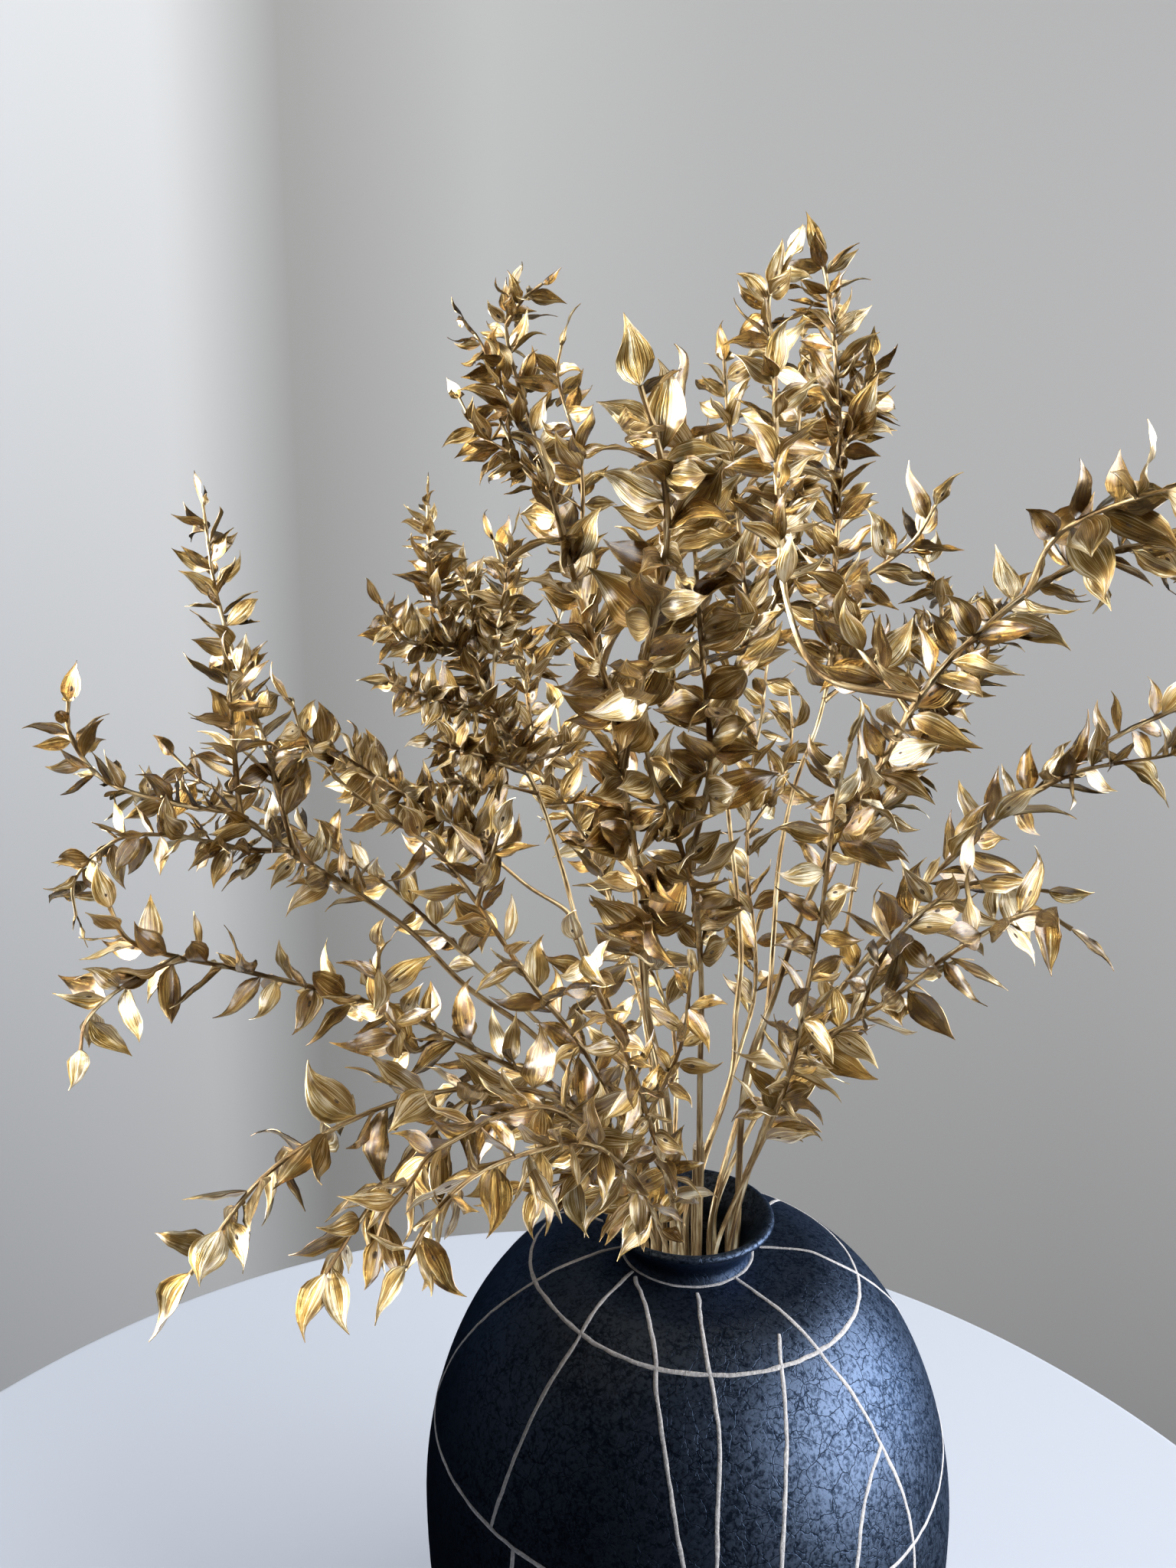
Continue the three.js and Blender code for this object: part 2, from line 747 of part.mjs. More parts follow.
// Closed bar over its rings, with flat ends.
function bar(rings) {
  const sides = rings[0].length;
  const end = (rings.length - 1) * sides;
  const triangles = [];
  for (let k = 0; k < sides; k++) {
    const next = (k + 1) % sides;
    for (let ring = 0; ring < end; ring += sides) {
      triangles.push([ring + k, ring + next, ring + sides + next]);
      triangles.push([ring + k, ring + sides + next, ring + sides + k]);
    }
    if (k > 0 && k < sides - 1) {
      triangles.push([0, k + 1, k]);
      triangles.push([end, end + k, end + k + 1]);
    }
  }
  return solid(rings.flat(), triangles);
}

// The middle of the bar's face that looks most nearly outward, measured from a point on the piece's axis.
function facetTowards(outward, centre, axis, ring) {
  const facets = ring.map((corner, k) => {
    const middle = sub(mix(corner, ring[(k + 1) % ring.length], 0.5), centre);
    return sub(middle, scale(axis, dot(middle, axis)));
  });
  return facets.reduce((best, facet) => (dot(facet, outward) > dot(best, outward) ? facet : best));
}

// A leaf as convex parts with their points and triangles: a slim leaf is one, a broad leaf two folded halves.
function leafParts(root, along, face, { length, half, lift, keel, broad }) {
  const across = cross(face, along);
  const at = (forward, sideways) => add(root, add(scale(along, forward), scale(across, sideways)));
  const raised = (share, reach) => add(at(share * length, reach), scale(face, lift * Math.abs(reach)));
  const base = [root, at(length, 0), sub(at(KEEL_AT * length, 0), scale(face, keel))];
  if (!broad) {
    const points = [...base, raised(WIDEST_AT, half), raised(WIDEST_AT, -half)];
    return [{ points, triangles: [[0, 3, 4], [3, 1, 4], [0, 2, 3], [2, 1, 3], [0, 4, 2], [4, 1, 2]] }];
  }
  return [half, -half].map((reach) => ({
    points: [...base, ...BROAD_RIM.map(([share, width]) => raised(share, width * reach))],
    triangles: [[0, 3, 4], [0, 4, 1], [2, 3, 0], [2, 4, 3], [2, 1, 4], [0, 1, 2]],
  }));
}

// Closed body of a leaf. The two halves of a broad leaf meet along the midrib, so they become one mesh.
function leafSolid(parts) {
  if (parts.length === 1) return solid(parts[0].points, parts[0].triangles);
  const [left, right] = parts;
  const open = left.triangles.slice(0, -1);
  const moved = (i) => (i < 3 ? i : i + BROAD_RIM.length);
  const mirrored = open.map(([a, b, c]) => [moved(a), moved(c), moved(b)]);
  return solid([...left.points, ...right.points.slice(3)], [...open, ...mirrored]);
}

// What the clearance test needs of a convex piece: corners, face normals, edge directions, bounds, a radius.
function convexPiece({ points, triangles }, radius, owner, root) {
  const normalOf = ([a, b, c]) => unit(cross(sub(points[b], points[a]), sub(points[c], points[a])));
  const normals = triangles.map(normalOf);
  const edges = [];
  points.forEach((p, i) => points.slice(i + 1).forEach((q) => edges.push(unit(sub(q, p)))));
  const low = [0, 1, 2].map((k) => Math.min(...points.map((p) => p[k])) - radius);
  const high = [0, 1, 2].map((k) => Math.max(...points.map((p) => p[k])) + radius);
  return { points, normals, edges, low, high, radius, owner, root };
}

function spanOn(points, axis) {
  let low = Infinity;
  let high = -Infinity;
  for (const p of points) {
    const d = dot(p, axis);
    if (d < low) low = d;
    if (d > high) high = d;
  }
  return [low, high];
}

// Widest gap between two convex pieces over the directions that can part them: negative where they cross.
function gapBetween(a, b) {
  let widest = -Infinity;
  const tryAxis = (axis) => {
    const [lowA, highA] = spanOn(a.points, axis);
    const [lowB, highB] = spanOn(b.points, axis);
    widest = Math.max(widest, lowB - highA, lowA - highB);
  };
  a.normals.forEach(tryAxis);
  b.normals.forEach(tryAxis);
  for (const p of a.edges) {
    for (const q of b.edges) {
      const axis = cross(p, q);
      const length = size(axis);
      if (length > SMALLEST) tryAxis(scale(axis, 1 / length));
    }
  }
  return widest - a.radius - b.radius;
}

// Whether a leaf's piece keeps clear of a placed piece. Near its own root a leaf may touch its own stem.
function clears(piece, other) {
  const own = other.owner === piece.owner;
  const gap = own ? OWN_CLEARANCE : CLEARANCE;
  const apart = (k) => piece.low[k] > other.high[k] + gap || other.low[k] > piece.high[k] + gap;
  if ([0, 1, 2].some(apart)) return true;
  if (own) {
    const near = other.root || nearestOnPiece(other.points[0], other.points[1], piece.root);
    if (size(sub(near, piece.root)) < ROOT_REACH + other.radius) return true;
  }
  return gapBetween(piece, other) >= gap;
}

function clearsVase([x, y, z]) {
  const radius = Math.hypot(x, y);
  const top = radius < SHOULDER_FLAT_RADIUS ? LIP_TOP : upperHeight(radius, 0);
  return z > top + VASE_CLEARANCE;
}

function slotPoint([degrees, radius], height, spread = 1) {
  const turn = (degrees * Math.PI) / 180;
  return [radius * spread * Math.cos(turn), radius * spread * Math.sin(turn), height];
}

// Axes and radii of each stem and its shoots.
const placed = [];
const stems = STEMS.map((stem, owner) => {
  const rise = [FOOT_HEIGHT, ...SLOT_HEIGHTS].map((height) => slotPoint(stem.slot, height));
  const fine = curveThrough([...rise, slotPoint(stem.slot, LIP_HEIGHT, LIP_SPREAD), ...stem.route]);
  const hidden = distances(fine)[rise.length * CURVE_STEPS];
  const strands = [{ ...stem, fine, hidden }];
  for (const shoot of stem.shoots) {
    const away = (point) => size(sub(point, shoot.route[0]));
    const joint = fine.reduce((best, point) => (away(point) < away(best) ? point : best));
    const shootLine = curveThrough([joint, ...shoot.route.slice(1)]);
    strands.push({ ...shoot, fine: shootLine, hidden: 0 });
  }
  for (const strand of strands) {
    strand.line = simplified(strand.fine);
    strand.marks = distances(strand.line);
    strand.total = strand.marks[strand.marks.length - 1];
    strand.radius = Math.max(THINNEST, MEAN_GIRTH * strand.girth);
    strand.rings = ringsAlong(strand.line, strand.radius, STEM_SIDES);
    for (let i = 1; i < strand.line.length; i++) {
      const points = [strand.line[i - 1], strand.line[i]];
      placed.push(convexPiece({ points, triangles: [] }, strand.radius, owner));
    }
  }
  return { name: stem.name, strands, leaves: [] };
});

// One leaf of a strand, or nothing where it would touch something in every try.
function placeLeaf(strand, owner, distance, order, count, draws) {
  const [turnBy, leanBy, droopBy, rollBy, lengthBy, widthBy, liftBy] = draws;
  const terminal = order === count;
  const i = pieceAt(strand.marks, distance);
  const axis = unit(sub(strand.line[i], strand.line[i - 1]));
  const centre = add(strand.line[i - 1], scale(axis, distance - strand.marks[i - 1]));
  const [side, up] = squareTo(axis);
  const lean = terminal ? TIP_LEAN : between(LEAN_RANGE, leanBy);
  for (let attempt = 0; attempt < TRIES; attempt++) {
    const turn = LEAF_TURN * order + TURN_SPREAD * (turnBy - 0.5) + RETRY_TURN * attempt;
    const facet = facetTowards(turned(side, up, turn), centre, axis, strand.rings[i - 1]);
    const outward = unit(facet);
    const fall = strand.droop * between(DROOP_RANGE, droopBy);
    const along = unit(sub(turned(axis, outward, lean), [0, 0, fall]));
    const level = unit(sub(outward, scale(along, dot(outward, along))));
    const face = turned(scale(level, -1), cross(along, level), ROLL_SPREAD * (rollBy - 0.5));
    const shrink = (1 - (TIP_SHRINK * order) / Math.max(1, count)) * (1 - RETRY_SHRINK * attempt);
    const length = strand.leaf * between(LENGTH_RANGE, lengthBy) * shrink;
    const shape = {
      length,
      half: length * (strand.broad ? BROAD_WIDTH : SLIM_WIDTH) * between(WIDTH_RANGE, widthBy),
      lift: between(LIFT_RANGE, liftBy),
      keel: Math.max(LEAST_KEEL, KEEL_DEPTH * length),
      broad: strand.broad,
    };
    const root = sub(terminal ? centre : add(centre, facet), scale(along, SINK));
    const parts = leafParts(root, along, face, shape);
    const pieces = parts.map((part) => convexPiece(part, 0, owner, root));
    const corners = parts.flatMap((part) => part.points);
    if (corners.every(clearsVase) && pieces.every((piece) => placed.every((other) => clears(piece, other)))) {
      placed.push(...pieces);
      return parts;
    }
  }
  return null;
}

stems.forEach((stem, owner) => {
  stem.strands.forEach((strand, number) => {
    if (!strand.leaf) return;
    const random = randomFrom(SEEDS[0] + owner * SEEDS[1] + number * SEEDS[2]);
    const first = strand.hidden + (strand.total - strand.hidden) * strand.start;
    const count = Math.floor((strand.total - first) / strand.every);
    for (let order = 0; order <= count; order++) {
      const [shiftBy, ...draws] = Array.from({ length: 8 }, random);
      const step = first + strand.every * (order + STEP_SPREAD * (shiftBy - 0.5));
      const distance = order === count ? strand.total : Math.min(step, strand.total - TIP_MARGIN);
      const leaf = placeLeaf(strand, owner, distance, order, count, draws);
      if (leaf) stem.leaves.push(leaf);
    }
  });
});

// Bodies joined to one, without the needless points that the joints leave in flat faces.
function joined(bodies) {
  return Manifold.union(bodies).asOriginal().simplify(JOINT_TOLERANCE);
}

function meshOf(name, body, material) {
  const { vertProperties, triVerts } = body.getMesh();
  const geometry = new THREE.BufferGeometry();
  geometry.setAttribute("position", new THREE.BufferAttribute(vertProperties, 3));
  geometry.setIndex(new THREE.BufferAttribute(triVerts, 1));
  geometry.computeVertexNormals();
  const mesh = new THREE.Mesh(geometry, material);
  mesh.name = name;
  return mesh;
}

const group = new THREE.Group();
group.name = "dried_ruscus_in_vase";

const outside = bodyOutline(0, 0, OUTSIDE_STEPS);
const inside = bodyOutline(WALL, FLOOR_HEIGHT, INSIDE_STEPS).reverse();
const vase = revolve([[0, 0], ...outside, ...NECK_PROFILE, ...inside, [0, FLOOR_HEIGHT]], VASE_SIDES);
group.add(meshOf("vase", vase, new THREE.MeshStandardMaterial(GLAZE)));

for (const stem of stems) {
  const bars = stem.strands.map((strand) => bar(strand.rings));
  const body = joined([...bars, ...stem.leaves.map(leafSolid)]);
  group.add(meshOf(`stem_${stem.name}`, body, new THREE.MeshStandardMaterial(GOLD)));
}

// The cut stem: an upright bar that runs past its top and is sliced there at a slant.
const cutFace = unit(STUB.cutFace);
const stubTop = add(STUB.top, [0, 0, STUB.spare]);
const stubLine = [slotPoint(STUB.slot, FOOT_HEIGHT), slotPoint(STUB.slot, SLOT_HEIGHTS[1]), stubTop];
const stubBar = bar(ringsAlong(stubLine, STUB.girth, STUB.sides));
const stub = stubBar.trimByPlane(scale(cutFace, -1), -dot(cutFace, STUB.top));
group.add(meshOf("stem_cut_short", stub, new THREE.MeshStandardMaterial(GOLD)));

export default group;
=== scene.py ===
"""A bunch of gold-painted dried ruscus stems in a round, crackle-glazed stoneware vase.

The stems' axes and the larger leaves repeat the rules and numbers of the CAD source, so that each fine leaf
lies where its CAD blade lies. More leaves are then set between them. Lengths are millimetres up to
Shell.build(), and metres for the camera, the stage and the lights.
"""
import math

import bpy
import mathutils
import numpy as np
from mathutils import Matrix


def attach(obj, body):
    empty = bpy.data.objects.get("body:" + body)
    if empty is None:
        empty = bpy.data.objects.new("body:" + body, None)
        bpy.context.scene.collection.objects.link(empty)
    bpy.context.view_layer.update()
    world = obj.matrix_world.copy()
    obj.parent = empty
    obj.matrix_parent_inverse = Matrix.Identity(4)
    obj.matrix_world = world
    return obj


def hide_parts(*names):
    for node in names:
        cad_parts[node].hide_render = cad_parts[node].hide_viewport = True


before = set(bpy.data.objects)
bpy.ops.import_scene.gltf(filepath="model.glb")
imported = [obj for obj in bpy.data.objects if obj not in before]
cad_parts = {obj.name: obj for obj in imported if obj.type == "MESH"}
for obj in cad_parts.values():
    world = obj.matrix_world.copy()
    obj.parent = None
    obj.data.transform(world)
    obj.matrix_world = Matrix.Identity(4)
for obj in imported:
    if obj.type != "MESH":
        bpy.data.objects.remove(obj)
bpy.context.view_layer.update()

# The vase, as in the CAD source.
BODY_RADIUS = 120
WIDEST_HEIGHT = 122
SHOULDER_HEIGHT = 234
SHOULDER_FLAT_RADIUS = 52
FOOT_RADIUS = 74
LOWER_FULLNESS = 2.3
UPPER_FULLNESS = 1.88
WALL = 5
FLOOR_HEIGHT = 6
LIP_TOP = 253.4
# The level shoulder rises a little on its run to the neck.
SHOULDER_RISE, SHOULDER_RUN = 0.6, 23

# Stems and leaves, as in the CAD source.
FOOT_HEIGHT = FLOOR_HEIGHT + 0.3
SLOT_HEIGHTS = (120, 222)
LIP_HEIGHT = 247
LIP_SPREAD = 1.06
STEM_SIDES = 4
MEAN_GIRTH = 0.78
THINNEST = 0.8
CURVE_STEPS = 8
CURVE_TOLERANCE = 1.1
TIP_SHRINK = 0.22
SLIM_WIDTH = 0.2
BROAD_WIDTH = 0.26
WIDTH_RANGE = (0.85, 1.15)
WIDEST_AT = 0.38
BROAD_RIM = ((0.24, 0.9), (0.58, 0.84))
KEEL_DEPTH = 0.04
LEAST_KEEL = 0.95
KEEL_AT = 0.16
LIFT_RANGE = (0.06, 0.36)
TIP_LEAN = 0.15
LEAF_TURN = 2.6
TURN_SPREAD = 0.7
DROOP_RANGE = (0.6, 1.4)
STEP_SPREAD = 0.4
TIP_MARGIN = 1
SINK = 0.7
SEEDS = (1000, 97, 13)
# Lean range, length range, spread of the roll, and clearances from other stems and from the leaf's own.
GROWN = ((0.65, 1.2), (0.78, 1.18), 2.2, (0.4, 0.15))
ROOT_REACH = 3
VASE_CLEARANCE = 2.5
TRIES = 6
RETRY_TURN = 1.3
RETRY_SHRINK = 0.06
SMALLEST = 1e-4
MOST_PIECES = 20000
RANDOM_STEP, RANDOM_LIMIT = 16807, 2147483647

# Leaves that only this script adds: how many follow each leaf of the CAD source, by stem.
EXTRA_LEAVES = 1
MORE_LEAVES = {"top_left": 2, "top_right": 4, "mid_left": 5, "big_leaf_left": 3, "centre": 3,
               "centre_back": 3, "mid_back": 3, "left_upper": 2, "right_cut": 3, "right_arch": 2}
# The same values as GROWN, and the share of the stem's radius that an added leaf starts at.
ADDED = ((0.75, 1.65), (0.72, 1.16), 5, (0.1, 0.1))
EXTRA_SEAT = 0.7
# Added leaves turn their faces a little this way, towards the camera.
SHOWN_FACE = (0.1, -0.75, 0.25)
EXTRA_SEED = 50000

# Finer stems: ridged bark that swells where a leaf sits.
BARK_SIDES = 12
BARK_RIDGES = 4
RIDGE_DEPTH = 0.07
RIDGE_TWIST = 0.02
RIDGE_START = 6
# Millimetres to one unit of the grain coordinate, across and along, and its shift from stem to stem.
GRAIN_SCALE = (3, 10)
GRAIN_SHIFT = 9
TIP_GIRTH = 0.38
TAPER = 0.6
LEAST_GIRTH = 0.62
NODE_SWELL = 0.22
NODE_LENGTH = 1.3
SHOOT_FLARE = 0.35
FLARE_LENGTH = 4
FINE_STEP = 3.2
# The stem that ends in a cut, and what its end face's direction adds to the stem's own.
CUT_STEM = "right_cut"
CUT_LEAN = (-1.5, -2.5, 1.5)
# How deep a leaf sits in its stem: at the tip in millimetres, elsewhere as a share of the radius.
TIP_SEAT = 0.6
SIDE_SEAT = 0.55
# The finishes of a stem, in the order of its materials.
LEAF, BARK, BUD, CUT_FACE = range(4)

# Finer leaves: width along the blade, as shares of the half width, and how far they bend. Each leaf's own
# value is drawn from a range.
STATIONS = (0, 0.04, 0.11, 0.21, 0.33, 0.45, 0.57, 0.69, 0.79, 0.88, 0.95, 1)
WIDTHS = (0.09, 0.16, 0.5, 0.84, 1.0, 0.97, 0.83, 0.6, 0.38, 0.19, 0.08, 0.015)
COLUMNS = 7
BLADE_THICKNESS = 0.34
EDGE_THIN = 0.6
FULLER = 1.04
UNEVEN_WIDTH = 0.07
WIDTH_KNOTS = 5
NIB_RANGE = (0, 0.12)
NIB_WIDTH = 0.3
ARC_RANGE = (-0.5, 0.7)
LEAST_ARC = 0.05
KEPT_LIFT = 0.5
FOLD_RANGE = (-0.1, 0.32)
FOLD_ROUNDING = 0.15
CUP_RANGE = (-0.18, 0.28)
TWIST_SPREAD = 1.0
TWIST_AT = 0.3
HOOK_SPREAD = 0.17
HOOK_FROM = 0.66
WAVE_RANGE = (0.04, 0.2)
WAVES = (1.2, 2.4)
WAVE_OFFSET = 0.25
CRUMPLE = 0.016
CRUMPLE_KNOTS = 6
PLEATS = 3
PLEAT_DEPTH = 0.13
PLEATED_FROM = 1.5
# Buds: half sizes across, along and out, and the shape of one, as rings of (height, radius) and two ends.
KNOT_SHARE = 0.42
KNOT_AT = 0.36
KNOT_SIZE = (0.75, 1.5, 0.55)
KNOT_SCALE_RANGE = (0.6, 1.25)
KNOT_SIDES = 6
KNOT_RINGS = ((-0.5, 0.8), (0.35, 0.85))
KNOT_ENDS = (-0.9, 1)
LOOK_SEED = 4242

# Finer vase: smooth rounds, and the thin pale hand-drawn lines over its glaze.
TURNS = 144
BODY_STEPS = (26, 34)
INSIDE_STEPS = (12, 14)
NECK_STEPS = 5
SHOULDER_RADII = (47, 42, 37, 33)
VASE_SHARP = 70
# Neck and lip as (radius, height), from the shoulder up, over the lip and down to the shoulder's inside.
NECK_PROFILE = ((29, 234.6), (28, 240), (33, 247), (38.4, 251), (37.6, 253.4), (34.5, 252.6), (27.5, 245),
                (24.6, 238), (25, 229.6))
LINE_SHOULDER_RADII = (28.5, 34, 40, 46)
LINE_HALF_WIDTH = 0.86
LINE_PROUD = 0.26
LINE_SUNK = 0.45
LINE_STEP = 1.6
LINE_WOBBLE = 0.22
UNEVEN_LINE = 0.17
# A line swings to and fro once in so many of its points, but at least so many times.
SWING_POINTS = 3
LEAST_SWINGS = 4
SWING_SPAN = 0.999
# A line's section, as shares of its half width and height: where its side ends and where its round starts.
LINE_EDGE = 0.02
LINE_ROUND = 0.72
# Millimetres over which a ring's unevenness fades to its joint, and a stroke thins to a share at its ends.
LINE_JOIN = 6
LINE_END = 4
LINE_END_WIDTH = 0.8
# Points on the curve between two points of a line, and steps of the outline that it lies on.
CURVE_POINTS = 16
LINE_BODY_STEPS = (60, 90)
LINES_SHARP = 40

# Rings round the vase as (degrees, millimetres down the outside from the neck), closed on themselves.
RINGS = (
    ((-180, 0.9), (-120, 0.7), (-60, 0.9), (0, 0.7), (60, 0.9), (120, 0.7)),
    ((-177.6, 43.6), (-149, 41.9), (-119.7, 44.8), (-94, 47.1), (-64.4, 48.9), (-37.3, 50.2), (1.8, 50.2),
     (40, 48.5), (70, 47), (100, 46), (130, 45.5), (160, 44.8)),
    ((-171, 127.8), (-149, 126.1), (-126, 127), (-100, 130), (-75, 133), (-48, 133.8), (-19, 129.5),
     (10, 126), (45, 124), (90, 127), (135, 129), (165, 128.5)),
)
# Lines down the vase, in the same numbers.
STROKES = (
    ((-181.5, 1), (-169.1, 24.3), (-166.1, 42.5), (-169, 63), (-175.6, 98), (-179.3, 124.4)),
    ((-144.7, 2.5), (-137.4, 19), (-132.4, 44.2), (-133.5, 67.1), (-135.4, 102), (-136.9, 125.3)),
    ((-137.9, 4), (-118.3, 16), (-106.4, 37.4), (-102.8, 57.1), (-99.7, 74.2), (-96, 103.6), (-93, 132),
     (-93.5, 160), (-95, 190)),
    ((-87, 5), (-88.5, 30.6), (-86.7, 65.8), (-87.8, 90.8), (-88.6, 112.7), (-89.2, 133), (-89.5, 150)),
    ((-59.6, 36.9), (-65, 48.9), (-69.4, 69.2), (-73.9, 97.2), (-77.5, 133)),
    ((-49.8, 0.5), (-51.3, 22.5), (-49.9, 50.2), (-47.4, 66.5), (-45.1, 90.8), (-42.6, 122.7), (-45, 165),
     (-48, 190)),
    ((-45.1, 90.8), (-52.1, 99.6), (-56.4, 110.2), (-59.6, 125.3), (-61, 133.5)),
    ((1.3, 4.5), (-0.5, 22), (-4.4, 36.3), (-3.8, 48.9), (0.4, 69.2), (8, 95), (14, 125)),
    ((-130.2, 127), (-129.9, 134.6), (-129, 160), (-127, 190)),
    ((35, 1), (42, 30), (50, 60), (52, 95), (49, 125)),
    ((75, 12), (78, 50), (74, 90), (77, 127), (79, 165)),
    ((112, 1), (108, 28), (104, 60), (110, 100), (118, 128)),
    ((150, 8), (147, 45), (152, 85), (149, 128), (146, 170)),
    ((20, 126), (24, 160), (22, 200)),
)
# The short stem that was cut off just above the neck, as in the CAD source.
STUB_SLOT = (-10, 4.2)
STUB_RADIUS = 2.522
STUB_SIDES = 20
STUB_RIDGE_DEPTH = 0.049
STUB_STEP = 6
STUB_TOP = (4, -4, 287)
STUB_CUT = (-0.25, -0.55, 1)

# Camera, table, wall and lights, in metres. The table's rounding is its width and number of steps.
CAMERA_PLACE = (-0.0449, -0.4857, 0.5413)
CAMERA_TILT = 79.21
CAMERA_LENS = 27.05
SENSOR_WIDTH = 36
TABLE_CENTRE = (-0.071, -0.044)
TABLE_RADIUS = 0.443
TABLE_THICKNESS = 0.025
TABLE_SIDES = 256
TABLE_ROUNDING = (0.004, 3)
TABLE_COLOUR = (0.43, 0.458, 0.515)
TABLE_UNEVENNESS = 0.985
WALL_CENTRE = (0, 1.15, 0.4)
WALL_SIZE = (7, 5)
# Colours from the wall's left end at 0 to its right end at 1. They paint the wall's light and shade: bright
# at the left, a soft band of painted shadow, and painted falloff that darkens to the right.
WALL_PAINTED_LIGHT = (
    (0.36, (0.52, 0.525, 0.54)), (0.416, (0.52, 0.52, 0.52)), (0.438, (0.26, 0.255, 0.245)),
    (0.475, (0.355, 0.35, 0.342)), (0.52, (0.305, 0.3, 0.294)), (0.6, (0.262, 0.257, 0.253)),
    (0.8, (0.23, 0.225, 0.22)),
)
# Lights: name, place, aim, size, power and colour. The window is dimmed for two stems, which stand in shade.
COOL = (0.95, 0.97, 1.0)
WINDOW = ((2.25, -0.2, 0.85), (0, 0, 0.35), (3.3, 2.1))
WINDOW_LIGHTS = [("window", *WINDOW, 195, COOL)]
SHADED = ("ruscus_right_cut", "ruscus_top_left")
SHADED_LIGHTS = [("dim_window", *WINDOW, 105, COOL)]
# Panels that light the stems only.
STEM_LIGHTS = (
    ("left_panel", (-1.7, -0.1, 0.85), (0, 0, 0.4), (1.15, 1.5), 138, (0.97, 0.98, 1.0)),
    ("left_spot", (-1.3, -0.9, 1.15), (0, 0, 0.4), (0.4, 0.5), 12, (0.98, 0.98, 1.0)),
    ("front_panel", (-0.5, -2.0, 1.5), (0, 0, 0.4), (2.6, 1.6), 1.3, COOL),
    ("top_panel", (0.1, 0.3, 2.4), (0, 0, 0.4), (2.6, 2.6), 1.2, COOL),
    ("table_glow", (-0.15, -0.15, 0.01), (-0.15, -0.15, 1), (0.8, 0.7), 1.6, COOL),
)
# A panel that lights the table and the wall only.
STAGE_LIGHTS = [("room_panel", (-1.2, -0.6, 2.3), (-0.1, 0.7, 0.05), (2.2, 2.2), 85, (0.96, 0.98, 1.0))]
# Light of the room: (height of the direction, from straight down at -1 to straight up at 1, brightness).
ROOM = ((-1, 0.0), (-0.4, 0.005), (-0.12, 0.075), (0.1, 0.15), (0.45, 0.14), (0.7, 0.05), (1, 0.01))
ROOM_COLOUR = (0.9, 0.94, 1.0)
# The dark part of the room, behind the camera: its direction, and the cosines where it starts and is darkest.
DARK_SIDE = (-0.35, -0.93, -0.05)
DARK_FROM, DARK_AT, DARKEST = 0.68, 0.92, 0.04
# Blender's colour mixing node: its inputs for the factor and the two colours, and its colour output.
MIX_INPUTS = (0, 6, 7)
MIX_RESULT = 2

